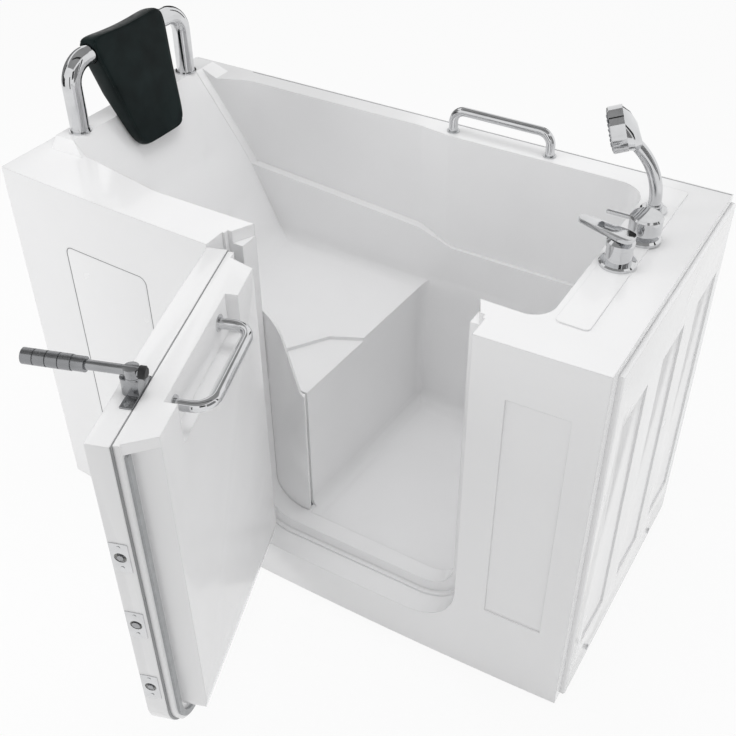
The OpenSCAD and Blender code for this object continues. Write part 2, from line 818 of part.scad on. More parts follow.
module overflow_pipe() {
  color([0.9, 0.9, 0.88])
    difference() {
      union() {
        at_overflow() translate([0, 0, wall + 0.2]) cylinder(r = 27, h = 8, $fn = 48);
        at_overflow() translate([0, 0, wall + 6])
          cylinder(r = 18, h = overflow_pipe_x - overflow_x - wall - 6, $fn = 48);
        translate([overflow_pipe_x, overflow_y, pipe_z + 26])
          cylinder(r = riser_r, h = overflow_z - pipe_z - 29, $fn = 48);
        translate([overflow_pipe_x, overflow_y, overflow_z - 3]) sphere(r = 19, $fn = 48);
      }
      at_overflow() cylinder(r = overflow_hole_r - 0.45, h = wall + 5, $fn = 64);
      at_overflow() cylinder(r = 14, h = overflow_pipe_x - overflow_x, $fn = 48);
      translate([overflow_pipe_x, overflow_y, 0])
        cylinder(r = riser_r - pipe_wall, h = overflow_z, $fn = 48);
    }
}

// ---- hinges ----

hinge_zs = [hinge_h / 2 + 240, (hinge_h / 2 + 240 + deck_z - notch_h - 60) / 2, deck_z - notch_h - 60];
pivot_a = 1;
pivot_n = -5;
barrel_r = hinge_pin_d / 2 + 2.1;
leaf_t = 2;
leaf_clear = 0.4;

// Places the closed door's pieces at the angle by which the door stands open
module on_door() {
  at_door() translate([pivot_a, pivot_n, 0]) rotate([0, 0, -door_open])
    translate([-pivot_a, -pivot_n, 0]) children();
}

// One leaf with knuckles over the given thirds of its height
module leaf(a, depth, thirds) {
  third = hinge_h / 3;
  difference() {
    union() {
      translate([a, pivot_n + barrel_r + leaf_clear, -hinge_h / 2])
        cube([leaf_t, depth - pivot_n - barrel_r - leaf_clear, hinge_h]);
      for (i = thirds) {
        low = -hinge_h / 2 + i * third + (i > 0 ? 0.15 : 0);
        high = -hinge_h / 2 + (i + 1) * third - (i < 2 ? 0.15 : 0);
        translate([a, pivot_n, low]) cube([leaf_t, barrel_r + leaf_clear + 1, high - low]);
        translate([pivot_a, pivot_n, low]) cylinder(r = barrel_r, h = high - low, $fn = 48);
      }
    }
    translate([pivot_a, pivot_n, -hinge_h]) cylinder(r = hinge_pin_d / 2 + run_gap, h = 2 * hinge_h, $fn = 32);
    for (z = [-hinge_h / 3, 0, hinge_h / 3])
      translate([a - 1, 22, z]) rotate([0, 90, 0]) cylinder(r = 2.2, h = leaf_t + 2, $fn = 24);
  }
}

module hinge_leaves_jamb() {
  color("silver")
    at_door() for (z = hinge_zs) translate([0, 0, z]) leaf(0, 40, [0, 2]);
}

module hinge_leaves_door() {
  color("silver")
    on_door() for (z = hinge_zs) translate([0, 0, z]) leaf(door_gap - leaf_t, 36, [1]);
}

module hinge_pins() {
  color("silver")
    at_door() for (z = hinge_zs) translate([pivot_a, pivot_n, z]) {
      translate([0, 0, -hinge_h / 2]) cylinder(d = hinge_pin_d, h = hinge_h, $fn = 32);
      translate([0, 0, hinge_h / 2]) cylinder(r = barrel_r, h = 2.5, $fn = 32);
    }
}

// ---- door ----

door_z0 = sill_z + sill_gap;
skin_r = corner_r - door_gap;
skin_a1 = open_w - door_gap;
rim_n0 = skin_n + trim_n;
rim_n1 = rim_n0 + rim_n;

function door_front(a) = -front_bow * a * (open_w - a) / (hl * hl);
module door_front_edge() {
  polygon(concat(
    [for (i = [0:bow_steps]) let (a = door_gap + (skin_a1 - door_gap) * i / bow_steps) [a, door_front(a)]],
    [[skin_a1, skin_n], [door_gap, skin_n]]));
}

// The door's upright outline, drawn in from its edges
module door_outline(inset, top) {
  polygon(u_outline(door_gap + inset, skin_a1 - inset, door_z0 + inset, skin_r - inset, top));
}

module door_outer_skin() {
  color([0.95, 0.95, 0.95])
    on_door()
      difference() {
        intersection() {
          along_y(-far, skin_n) door_outline(0, deck_z);
          along_z(0, deck_z) door_front_edge();
        }
        along_y(door_wall - 1, skin_n + 1) door_outline(door_wall, deck_z - door_wall);
        translate([shaft_a, shaft_n, deck_z - 20]) cylinder(d = shaft_d + 2, h = 40, $fn = 48);
        for (z = bolt_zs)
          translate([skin_a1, bolt_n, z]) rotate([0, 90, 0]) {
            cylinder(d = bolt_d + 5, h = 30, center = true, $fn = 48);
            for (side = [-1, 1])
              translate([side * screw_reach, 0, 0]) cylinder(r = 2.1, h = 30, center = true, $fn = 24);
          }
      }
}

module door_seam_trim() {
  color([0.55, 0.56, 0.58])
    on_door() along_y(skin_n, rim_n0)
      difference() {
        door_outline(1, deck_z - 1);
        door_outline(10, deck_z - 10);
      }
}

block_a0 = stop_a0 + 7;
block_a1 = open_w - 38;
block_r = stop_r - 5;
block_in = rim_n1;
recess_a0 = 140;
recess_a1 = 432;
recess_n0 = door_n - 23;
recess_z0 = deck_z - 90;
handle_z = deck_z - 33;

// Deep inner part of the door, grown by g
module door_block(g = 0) {
  plan = [[block_a0, rim_n0 - 1], [block_a1, rim_n0 - 1], [block_a1 - 5, door_n], [block_a0 + 8, door_n]];
  cross = [[rim_n0 - 1, stop_z + 10], [block_in + 38, stop_z + 22], [door_n, stop_z + 73],
    [door_n, deck_z - flange_h], [rim_n0 - 1, deck_z - flange_h]];
  intersection() {
    along_z(0, deck_z) polygon(grown(plan, g));
    along_x(-far, far) polygon(rounded(grown(cross, g), [0, 24, 22, 0, 0]));
    along_y(-far, far)
      polygon(u_outline(block_a0 - g, block_a1 + g, stop_z + 10 - g, block_r + g, deck_z - flange_h + g));
  }
}

module door_top_flange() {
  along_z(deck_z - flange_h, deck_z)
    polygon([[block_a0 - 16, rim_n1 - 1], [block_a1 + 24, rim_n1 - 1], [block_a1 - 5, door_n],
      [block_a0 + 10, door_n]]);
}

// Pocket behind the door handle, grown by g
module handle_pocket(g = 0) {
  along_x(recess_a0 - g, recess_a1 + g)
    polygon([[recess_n0 - g, recess_z0 + 8 - g], [far, recess_z0 - 20 - g], [far, deck_z + 10], [recess_n0 - g, deck_z + 10]]);
}

module door_inner_pan() {
  color([0.93, 0.93, 0.93])
    on_door()
      difference() {
        union() {
          along_y(rim_n0, rim_n1) door_outline(door_gap, deck_z);
          door_block();
          door_top_flange();
        }
        difference() {
          union() {
            door_block(-door_wall);
            translate([0, -12, 0]) door_block(-door_wall - 4);
          }
          handle_pocket(door_wall);
        }
        intersection() {
          handle_pocket();
          translate([0, recess_n0, 0]) cube([open_w, door_n, deck_z + 20]);
        }
      }
}

gasket_back = seat_gap;
module door_gasket() {
  g0 = block_a0 - gasket_w - 8;
  g1 = block_a1 + gasket_w + 9;
  g_z = stop_z + 10 - gasket_w - 7;
  color([0.75, 0.76, 0.78])
    on_door() along_y(rim_n1, stop_n - gasket_back)
      difference() {
        polygon(u_outline(g0, g1, g_z, block_r + gasket_w, notch_z - 3));
        polygon(u_outline(g0 + gasket_w, g1 - gasket_w, g_z + gasket_w, block_r, top_z));
      }
}

handle_a0 = 182;
module door_handle() {
  color("silver")
    on_door() translate([handle_a0, recess_n0, handle_z]) rotate([-90, 0, 0])
      bridge_bar(handle_span, door_n + 38 - recess_n0, handle_d, 35);
}

module handle_rosettes() {
  color("silver")
    on_door() for (a = [handle_a0, handle_a0 + handle_span])
      translate([a, recess_n0, handle_z]) rotate([-90, 0, 0]) tube(handle_d / 2 + 6, handle_d / 2 + 0.05, 2);
}

// ---- three-point latch ----

shaft_a = 421;
shaft_n = 31;
bolt_n = 17.5;
bolt_zs = [291, 473, 648];
rod_z = deck_z + 44;
crank_r = bolt_throw / 2 / sin(45);
crank_pin_r = 3;
cam_t = 5;
tail_t = 4;

module latch_base() {
  plate_a0 = shaft_a - 40;
  color([0.55, 0.56, 0.58])
    on_door()
      difference() {
        union() {
          translate([plate_a0, shaft_n - 11, deck_z]) cube([80, skin_n + trim_n / 2 - shaft_n + 11, 3]);
          translate([plate_a0, skin_n - 0.4, deck_z]) cube([80, 1.6, 3]);
          translate([shaft_a - 11, shaft_n - 11, deck_z]) cube([22, 22, 32]);
          translate([shaft_a, shaft_n - 11, deck_z]) cylinder(r = 11, h = 32, $fn = 48);
        }
        translate([shaft_a, shaft_n, deck_z - 1]) cylinder(r = shaft_d / 2 + run_gap, h = 60, $fn = 48);
        for (a = [plate_a0 + 7, plate_a0 + 73])
          translate([a, shaft_n - 1, deck_z - 1]) cylinder(r = 2.6, h = 6, $fn = 24);
      }
}

module latch_base_screws() {
  color("silver")
    on_door() for (a = [shaft_a - 33, shaft_a + 33])
      translate([a, shaft_n - 1, deck_z + 3]) pan_screw(4.5, 2, 2.5, 3);
}

hub_z0 = deck_z + 32;
module latch_shaft() {
  low = bolt_zs[0] - 30;
  color([0.6, 0.61, 0.63])
    on_door() translate([shaft_a, shaft_n, 0]) {
      translate([0, 0, low]) cylinder(d = shaft_d, h = hub_z0 - low, $fn = 48);
      for (z = bolt_zs) {
        translate([0, 0, z + tail_t / 2 + 1]) cylinder(r = crank_r + crank_pin_r + 1.5, h = cam_t, $fn = 48);
        rotate([0, 0, 135]) translate([crank_r, 0, z - tail_t / 2 - 1])
          cylinder(r = crank_pin_r, h = tail_t + 3, $fn = 32);
      }
    }
}

cap_r = 11;
cap_reach = 13.8;
grip_from = 75;
core_d = 8;
module latch_lever() {
  color([0.62, 0.63, 0.65])
    on_door() translate([shaft_a, shaft_n, 0]) {
      translate([0, 0, hub_z0]) cylinder(r = cap_reach - 0.3, h = 3, $fn = 48);
      translate([0, 0, hub_z0 + 3]) cylinder(r = 13, h = rod_z + 5 - hub_z0, $fn = 48);
      translate([0, cap_reach, rod_z]) rotate([90, 0, 0]) cylinder(d = rod_d, h = cap_reach + grip_from, $fn = 48);
      translate([0, 3 - grip_from - grip_l, rod_z]) rotate([-90, 0, 0]) cylinder(d = core_d, h = grip_l, $fn = 32);
    }
}

module latch_grip() {
  groove = 1.6;
  ring_n = 5;
  ring_l = grip_l / ring_n;
  r = grip_d / 2;
  color([0.4, 0.42, 0.45])
    on_door() translate([shaft_a, shaft_n - grip_from, rod_z]) rotate([90, 0, 0])
      difference() {
        union() {
          for (i = [0:ring_n - 1])
            translate([0, 0, i * ring_l + (i > 0 ? groove / 2 : 0)])
              cylinder(r = i == 0 ? r - 0.8 : r, h = ring_l - (i > 0 ? groove : groove / 2), $fn = 48);
          cylinder(r = r - groove, h = grip_l, $fn = 48);
        }
        translate([0, 0, -1]) cylinder(d = core_d + 0.1, h = grip_l - 2, $fn = 32);
      }
}

module latch_cap() {
  color([0.08, 0.08, 0.08])
    on_door() translate([shaft_a, shaft_n + cap_reach, rod_z]) rotate([-90, 0, 0]) {
      cylinder(r = cap_r, h = 8, $fn = 48);
      translate([0, 0, 8]) cylinder(r1 = cap_r, r2 = cap_r - 3, h = 3, $fn = 48);
    }
}

bush_zs = [deck_z - 40, 560, 382, 262];
module latch_bushes() {
  arm_n0 = door_wall - 1;
  color([0.85, 0.85, 0.83])
    on_door() for (z = bush_zs)
      difference() {
        union() {
          translate([shaft_a, shaft_n, z]) cylinder(r = shaft_d / 2 + 3.5, h = 12, $fn = 48);
          translate([shaft_a - 5, arm_n0, z]) cube([10, shaft_n - arm_n0 - shaft_d / 2, 12]);
        }
        translate([shaft_a, shaft_n, z - 1]) cylinder(r = shaft_d / 2 + run_gap, h = 14, $fn = 48);
      }
}

// Bolt along +X of the doorway's frame at height z
bolt_tip_a = skin_a1 + 2.5;
bolt_back_a = skin_a1 - 50;
module bolt(z, hooked) {
  r = bolt_d / 2;
  window = shaft_d / 2 + 1;
  color([0.55, 0.56, 0.58])
    on_door() {
      translate([bolt_back_a, bolt_n, z]) rotate([0, 90, 0]) {
        cylinder(r = r, h = 40, $fn = 48);
        translate([0, 0, 40])
          cylinder(r1 = r, r2 = hooked ? r * 0.62 : r * 0.8, h = bolt_tip_a - bolt_back_a - 40, $fn = 48);
      }
      translate([shaft_a + 19, bolt_n, z]) rotate([0, 90, 0]) cylinder(r = 5, h = bolt_back_a - shaft_a - 18, $fn = 32);
      difference() {
        translate([shaft_a - 34, bolt_n - 6, z - tail_t / 2]) cube([60, 32, tail_t]);
        translate([shaft_a - bolt_throw - window, shaft_n - window, z - tail_t])
          cube([bolt_throw + 2 * window, 2 * window, 2 * tail_t]);
        translate([shaft_a - crank_r * sin(45) - crank_pin_r - 0.6, shaft_n, z - tail_t])
          cube([2 * crank_pin_r + 1.2, crank_r + crank_pin_r + 1.2, 2 * tail_t]);
      }
    }
}

module bolt_top() { bolt(bolt_zs[2], true); }
module bolt_middle() { bolt(bolt_zs[1], false); }
module bolt_bottom() { bolt(bolt_zs[0], true); }

module bolt_guides() {
  guide_l = 26;
  color([0.8, 0.8, 0.78])
    on_door() for (z = bolt_zs)
      translate([skin_a1 - door_wall - guide_l, bolt_n, z]) rotate([0, 90, 0]) {
        tube(bolt_d / 2 + 3, bolt_d / 2 + run_gap, guide_l);
        translate([0, 0, guide_l - 3]) difference() {
          translate([-14, -12, 0]) cube([28, 24, 3]);
          translate([0, 0, -1]) cylinder(r = bolt_d / 2 + 2, h = 5, $fn = 48);
        }
      }
}

plate_t = 1.5;
plate_n = 33;
screw_reach = faceplate_h / 2 - 9;
module faceplates() {
  color([0.85, 0.86, 0.87])
    on_door() for (z = bolt_zs)
      difference() {
        translate([skin_a1, bolt_n - plate_n / 2, z - faceplate_h / 2]) cube([plate_t, plate_n, faceplate_h]);
        translate([skin_a1 - 1, bolt_n, z]) rotate([0, 90, 0]) cylinder(r = bolt_d / 2 + 2, h = 5, $fn = 48);
        for (side = [-1, 1])
          translate([skin_a1 - 1, bolt_n, z + side * screw_reach]) rotate([0, 90, 0])
            cylinder(r = 2.1, h = 5, $fn = 24);
      }
}

module faceplate_screws() {
  color("silver")
    on_door() for (z = bolt_zs)
      for (side = [-1, 1])
        translate([skin_a1 + plate_t, bolt_n, z + side * screw_reach]) rotate([0, 90, 0])
          pan_screw(3.6, 0.8, 2, plate_t + 9);
}

// Recess and slot for each strike plate, in the doorway's frame
strike_h = faceplate_h + 9;
slot_h = faceplate_h - 19;
module strike_pockets() {
  for (z = bolt_zs) {
    translate([open_w - 1, bolt_n - 15.5, z - strike_h / 2]) cube([1 + plate_t, 31, strike_h]);
    translate([open_w, bolt_n - 12, z - slot_h / 2]) cube([30, 24, slot_h]);
  }
}

module strike_plates() {
  color([0.7, 0.71, 0.73])
    at_door() for (z = bolt_zs)
      difference() {
        translate([open_w, bolt_n - 15.5, z - strike_h / 2]) cube([plate_t, 31, strike_h]);
        translate([open_w - 1, bolt_n - 11, z - slot_h / 2]) cube([30, 22, slot_h]);
      }
}

// ---- headrest and grab bar ----

module headrest_bar() {
  color("silver") {
    translate([head_bar_x, head_feet[0].y, block_top]) rotate([0, 0, 90])
      bridge_bar(head_bar_span, head_bar_h, head_bar_d, head_bar_bend);
    for (spot = head_feet)
      translate([spot.x, spot.y, deck_z - 32]) cylinder(r = head_stud_r, h = block_h + 33, $fn = 32);
  }
}

module headrest_flanges() {
  color("silver")
    for (spot = head_feet)
      translate([spot.x, spot.y, block_top]) tube(head_bar_d / 2 + 4, head_bar_d / 2 + 0.05, 3);
}

sleeve_r = head_bar_d / 2 + 2.5;
sleeve_l = pad_top_w - 50;
head_axis_z = block_top + head_bar_h;
pad_y = head_bar_y - 7;

module headrest_sleeve() {
  color([0.1, 0.1, 0.1])
    translate([head_bar_x, pad_y + sleeve_l / 2, head_axis_z]) rotate([90, 0, 0])
      tube(sleeve_r, head_bar_d / 2 + run_gap, sleeve_l);
}

// Cushion: it leans with the backrest and turns about the bar
pad_above = 38;
pad_clear = 0.8;
pad_corner_r = 30;
pad_edge_r = 10;

// Where the backrest lies behind the pad's middle plane, at a distance down from the bar
function pad_rest(down) =
  let (
    edge = [back_x - head_bar_x, deck_z - head_axis_z],
    c = cos(pad_lean),
    s = sin(pad_lean)
  )
  edge.x * c + edge.y * s + (down - edge.x * s + edge.y * c) * tan(back_lean - pad_lean);
function pad_back(down) = max(-pad_top_t / 2, pad_rest(down) + pad_clear);

module headrest_pad() {
  low = pad_l - pad_above;
  bend = (-pad_top_t / 2 - pad_clear - pad_rest(0)) / tan(back_lean - pad_lean);
  color([0.09, 0.12, 0.12])
    translate([head_bar_x, pad_y, head_axis_z]) rotate([0, -pad_lean, 0])
      difference() {
        intersection() {
          along_x(-pad_top_t, pad_top_t)
            polygon(rounded([[-pad_low_w / 2, -low], [pad_low_w / 2, -low],
              [pad_top_w / 2, pad_above], [-pad_top_w / 2, pad_above]],
              [pad_corner_r, pad_corner_r, pad_corner_r, pad_corner_r]));
          along_y(-pad_top_w, pad_top_w)
            polygon(rounded([[pad_back(low), -low], [pad_back(low) + pad_low_t, -low],
              [pad_top_t / 2, pad_above], [-pad_top_t / 2, pad_above], [-pad_top_t / 2, -bend]],
              [pad_edge_r, pad_edge_r, pad_edge_r, pad_edge_r, pad_edge_r]));
        }
        rotate([90, 0, 0]) {
          cylinder(r = sleeve_r + seat_gap, h = sleeve_l + 2 * seat_gap, center = true, $fn = 48);
          cylinder(r = head_bar_d / 2 + 1, h = 2 * pad_top_w, center = true, $fn = 48);
        }
      }
}

module grab_bar() {
  color("silver") {
    translate([grab_feet[0].x, grab_y, deck_z]) bridge_bar(grab_span, grab_h, grab_d, 28);
    for (spot = grab_feet)
      translate([spot.x, spot.y, deck_z - 28]) cylinder(r = grab_stud_r, h = 29, $fn = 24);
  }
}

module grab_bar_flanges() {
  color([0.3, 0.3, 0.32])
    for (spot = grab_feet)
      translate([spot.x, spot.y, deck_z]) tube(grab_d / 2 + 4, grab_d / 2 + 0.05, 2.5);
}

module bar_nuts() {
  color([0.7, 0.7, 0.7]) {
    for (spot = head_feet)
      translate([spot.x, spot.y, deck_z - wall]) hex_nut(head_stud_r, 9);
    for (spot = grab_feet)
      translate([spot.x, spot.y, deck_z - wall]) hex_nut(grab_stud_r, 6);
  }
}

// Hexagon nut hanging below z = 0 on a stud of radius r
module hex_nut(r, h) {
  translate([0, 0, -h])
    difference() {
      cylinder(r = r * 1.95, h = h, $fn = 6);
      translate([0, 0, -1]) cylinder(r = r + run_gap, h = h + 2, $fn = 32);
    }
}

// ---- taps and hand shower ----

mixer_turn = 167;
mixer_cap_z = tap_z + 38;
module at_mixer() {
  translate([mixer_x, mixer_y, 0]) rotate([0, 0, mixer_turn]) children();
}

module mixer_base() {
  color("silver")
    translate([mixer_x, mixer_y, tap_z]) {
      cylinder(r = mixer_ring_r, h = 5, $fn = 96);
      translate([0, 0, 5]) cylinder(r1 = mixer_ring_r, r2 = mixer_ring_r - 3, h = 3, $fn = 96);
      cylinder(r = mixer_r, h = mixer_cap_z - tap_z - seat_gap, $fn = 96);
    }
}

lever_pin_r = 3;
lever_pin_z = mixer_cap_z + 12;
lever_z = mixer_cap_z + 16.5;
lever_lift = 20;
module mixer_cap() {
  color("silver")
    at_mixer()
      difference() {
        union() {
          translate([0, 0, mixer_cap_z]) cylinder(r = mixer_r + 1.5, h = 10, $fn = 96);
          translate([0, 0, mixer_cap_z + 10]) cylinder(r1 = mixer_r + 1.5, r2 = mixer_r - 4, h = 6, $fn = 96);
          translate([0, 8, lever_pin_z]) rotate([90, 0, 0]) cylinder(r = lever_pin_r, h = 16, $fn = 32);
        }
        translate([-12, -9, mixer_cap_z + 6]) cube([60, 18, 30]);
        translate([0, -far, lever_pin_z]) rotate([0, -lever_lift, 0])
          translate([-far, 0, lever_z - lever_pin_z - 0.3]) cube([far, 2 * far, far]);
      }
    at_mixer() translate([0, 12, lever_pin_z]) rotate([90, 0, 0]) cylinder(r = lever_pin_r, h = 24, $fn = 32);
}

module mixer_lever() {
  lever_t = 9;
  color("silver")
    at_mixer()
      difference() {
        union() {
          translate([0, 8.5, lever_pin_z]) rotate([90, 0, 0]) cylinder(r = 5.5, h = 17, $fn = 48);
          translate([-5.5, -8.5, lever_pin_z]) cube([11, 17, lever_z - lever_pin_z + 1]);
          along_z(lever_z, lever_z + lever_t)
            polygon(rounded([[-24, -15], [0, -19], [mixer_lever_l, -9], [mixer_lever_l, 9], [0, 19], [-24, 15]],
              [12, 30, 8, 8, 30, 12]));
        }
        translate([0, 20, lever_pin_z]) rotate([90, 0, 0]) cylinder(r = lever_pin_r + run_gap, h = 40, $fn = 32);
      }
}

valve_cap_z = tap_z + 20;
valve_stem_r = 14;
stick_l = 46;
module valve_base() {
  color("silver")
    translate([valve_x, valve_y, tap_z]) {
      cylinder(r = valve_ring_r, h = 5, $fn = 96);
      translate([0, 0, 5]) cylinder(r1 = valve_ring_r, r2 = valve_ring_r - 4, h = 4, $fn = 96);
      cylinder(r = valve_stem_r, h = valve_cap_z - tap_z + 12, $fn = 64);
    }
}

module valve_cap() {
  color("silver")
    difference() {
      union() {
        translate([valve_x, valve_y, valve_cap_z]) cylinder(r = valve_r, h = 28, $fn = 96);
        translate([valve_x, valve_y, valve_cap_z + 28])
          cylinder(r1 = valve_r, r2 = valve_r - 3, h = 4, $fn = 96);
        translate([valve_x, valve_y, valve_cap_z + 18]) rotate([0, -90, 0])
          cylinder(d = 9, h = valve_r + stick_l - 4, $fn = 32);
        translate([valve_x - valve_r - stick_l + 4, valve_y, valve_cap_z + 18]) sphere(d = 9, $fn = 32);
      }
      translate([valve_x, valve_y, valve_cap_z - 1])
        cylinder(r = valve_stem_r + run_gap, h = 15, $fn = 64);
    }
}

holder_h = 16;
rest_gap = 0.1;
spigot_r = shower_grip_d / 2 - 3;
module shower_holder() {
  color("silver")
    translate([holder_x, holder_y, tap_z])
      difference() {
        union() {
          cylinder(r = 26, h = 5, $fn = 96);
          translate([0, 0, 5]) cylinder(r1 = 26, r2 = 22, h = 3, $fn = 96);
          cylinder(r = shower_grip_d / 2 + 3, h = holder_h, $fn = 64);
        }
        translate([0, 0, 6]) cylinder(r = spigot_r + run_gap, h = holder_h, $fn = 64);
      }
}

neck_bend = 160;
neck_turn = 48;
neck_z = tap_z + holder_h + 4;
neck_end = [-neck_bend * (1 - cos(neck_turn)), neck_z + neck_bend * sin(neck_turn)];
shower_turn = 24;
face_tilt = 16;
face_at = neck_end + [-52, 25];
head_t = 29;
dome = [[-1, 2, 0], [12, 8, -8], [22, 22, -18]];

// Frame on the holder's axis, in which the handle leans to -X
module at_shower() {
  translate([holder_x, holder_y, 0]) rotate([0, 0, shower_turn]) children();
}

module at_shower_face() {
  at_shower() translate([face_at.x, 0, face_at.y]) rotate([0, -90 - face_tilt, 0]) children();
}

module hand_shower() {
  grip_r = shower_grip_d / 2;
  color("silver")
    difference() {
      union() {
        translate([holder_x, holder_y, tap_z + 7]) cylinder(r = spigot_r, h = holder_h, $fn = 64);
        at_shower() {
          translate([0, 0, tap_z + holder_h + rest_gap])
            cylinder(r = grip_r, h = neck_z - tap_z - holder_h - rest_gap, $fn = 64);
          translate([-neck_bend, 0, neck_z]) rotate([90, 0, 0])
            rotate_extrude(angle = neck_turn, $fn = 128) translate([neck_bend, 0]) circle(r = grip_r, $fn = 48);
        }
        hull() {
          at_shower() translate([neck_end.x, 0, neck_end.y]) sphere(r = grip_r - 0.2, $fn = 32);
          for (step = dome)
            at_shower_face() translate([step.z, 0, -head_t - step.x])
              cylinder(r = shower_d / 2 - step.y, h = 1, $fn = 48);
        }
        at_shower_face() translate([0, 0, -head_t]) cylinder(r = shower_d / 2, h = head_t - 2, $fn = 96);
        at_shower_face() translate([0, 0, -2]) cylinder(r1 = shower_d / 2, r2 = shower_d / 2 - 2, h = 2, $fn = 96);
      }
      at_shower_face() translate([0, 0, -5]) cylinder(r = shower_d / 2 - 6, h = 10, $fn = 96);
    }
}

module shower_face() {
  color([0.75, 0.76, 0.78])
    at_shower_face() {
      translate([0, 0, -5]) cylinder(r = shower_d / 2 - 6.2, h = 6, $fn = 96);
      for (ring = [1:3])
        for (k = [0:6 * ring - 1])
          rotate([0, 0, k * 60 / ring]) translate([ring * 9.5, 0, 0.5]) cylinder(r = 1.5, h = 2, $fn = 12);
    }
}

tail_l = 70;
module tap_tails() {
  color([0.8, 0.68, 0.4])
    for (spot = tap_spots)
      translate([spot.x, spot.y, tap_z - tail_l]) cylinder(r = shank_r, h = tail_l, $fn = 48);
}

// Round rod from p to q
module rod(p, q, r) {
  way = q - p;
  translate(p) rotate([0, acos(way.z / norm(way)), atan2(way.y, way.x)])
    cylinder(r = r, h = norm(way), $fn = 32);
}

tail_z = tap_z - tail_l;
body_h = 26;
inlet_r = 10.5;
inlet_l = 18;
inlet_spread = 17;
link_r = 7;

// Bodies under the mixer and the valve, with the two inlets
module mixer_manifold() {
  color([0.8, 0.68, 0.4]) {
    translate([mixer_x - 29, mixer_y - 17, tail_z - body_h]) cube([58, 34, body_h]);
    for (side = [-1, 1])
      translate([mixer_x + side * inlet_spread, mixer_y, tail_z - body_h - inlet_l])
        cylinder(r = inlet_r, h = inlet_l + 1, $fn = 48);
  }
}

module valve_body() {
  color([0.8, 0.68, 0.4])
    translate([valve_x - 16, valve_y - 16, tail_z - body_h]) cube([32, 32, body_h]);
}

// Pipe from the mixer to the valve, and from there round the inlets to the filler at the overflow
pipe_round_x = mixer_x + inlet_spread + 29;
neck_reach = 19.3;
elbow_r = link_r + 1.6;
module fill_pipes() {
  y0 = mixer_y + 17;
  link_z = tail_z - body_h / 2;
  run_z = overflow_z - 5;
  behind = [pipe_round_x, mixer_y + 69, run_z];
  ahead = [pipe_round_x, mixer_y - 56, run_z];
  riser = [overflow_pipe_x, overflow_y, run_z];
  neck = riser + neck_reach * (ahead - riser) / norm(ahead - riser);
  drop = [valve_x, valve_y, run_z];
  color([0.75, 0.5, 0.35]) {
    rod([valve_x, y0, link_z], [valve_x, valve_y - 16, link_z], link_r);
    rod([valve_x, valve_y, tail_z - body_h], drop, link_r);
    rod(drop, behind, link_r);
    rod(behind, ahead, link_r);
    rod(ahead, neck, link_r);
    for (bend = [drop, behind, ahead])
      translate(bend) sphere(r = elbow_r, $fn = 32);
  }
}

module tap_nuts() {
  color([0.8, 0.68, 0.4])
    for (spot = tap_spots)
      translate([spot.x, spot.y, deck_z - wall]) hex_nut(shank_r, 9);
}

tub_shell();
end_panel();
end_panel_screws();
access_panel();
access_panel_clips();
base_frame();
levelling_feet();
foot_nuts();
drain_flange();
drain_plug();
waste_pipe();
overflow_plate();
overflow_pipe();
strike_plates();
hinge_leaves_jamb();
hinge_leaves_door();
hinge_pins();
door_outer_skin();
door_seam_trim();
door_inner_pan();
door_gasket();
door_handle();
handle_rosettes();
latch_base();
latch_base_screws();
latch_shaft();
latch_lever();
latch_grip();
latch_cap();
latch_bushes();
bolt_top();
bolt_middle();
bolt_bottom();
bolt_guides();
faceplates();
faceplate_screws();
headrest_bar();
headrest_flanges();
headrest_sleeve();
headrest_pad();
grab_bar();
grab_bar_flanges();
bar_nuts();
mixer_base();
mixer_cap();
mixer_lever();
valve_base();
valve_cap();
shower_holder();
hand_shower();
shower_face();
tap_tails();
tap_nuts();
mixer_manifold();
valve_body();
fill_pipes();
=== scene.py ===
import json
import math

import bmesh
import bpy
from mathutils import Matrix, Vector


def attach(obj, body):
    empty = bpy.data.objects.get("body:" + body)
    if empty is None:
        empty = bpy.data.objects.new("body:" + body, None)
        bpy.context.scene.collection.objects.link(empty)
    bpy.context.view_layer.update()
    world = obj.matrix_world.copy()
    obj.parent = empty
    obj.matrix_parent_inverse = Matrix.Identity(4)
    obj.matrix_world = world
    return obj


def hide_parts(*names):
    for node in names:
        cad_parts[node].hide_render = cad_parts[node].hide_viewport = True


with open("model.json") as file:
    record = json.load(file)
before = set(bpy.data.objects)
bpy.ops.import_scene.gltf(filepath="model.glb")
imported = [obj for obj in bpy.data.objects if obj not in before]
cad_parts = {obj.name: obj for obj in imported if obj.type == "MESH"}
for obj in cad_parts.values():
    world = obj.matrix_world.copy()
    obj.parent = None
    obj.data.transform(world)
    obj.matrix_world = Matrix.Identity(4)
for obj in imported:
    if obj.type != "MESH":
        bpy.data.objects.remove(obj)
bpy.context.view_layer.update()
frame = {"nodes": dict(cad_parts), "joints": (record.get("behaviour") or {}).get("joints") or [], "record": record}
scene = bpy.context.scene


def box_of(name):
    """Lowest and highest corner of a node at rest, in metres."""
    obj = frame["nodes"][name]
    points = [obj.matrix_world @ v.co for v in obj.data.vertices]
    return [Vector([pick(p[i] for p in points) for i in range(3)]) for pick in (min, max)]


def joint_at(name):
    """The point that a joint turns about, in metres."""
    return next(Vector(joint["pos_m"]) for joint in frame["joints"] if joint["name"] == name)


# ---- materials: colour, roughness and relief from procedural textures ----

TEXTURE_LOW, TEXTURE_HIGH = 0.3, 0.7    # the part of a texture's range that colours and roughness follow
EDGE_SAMPLES = 4


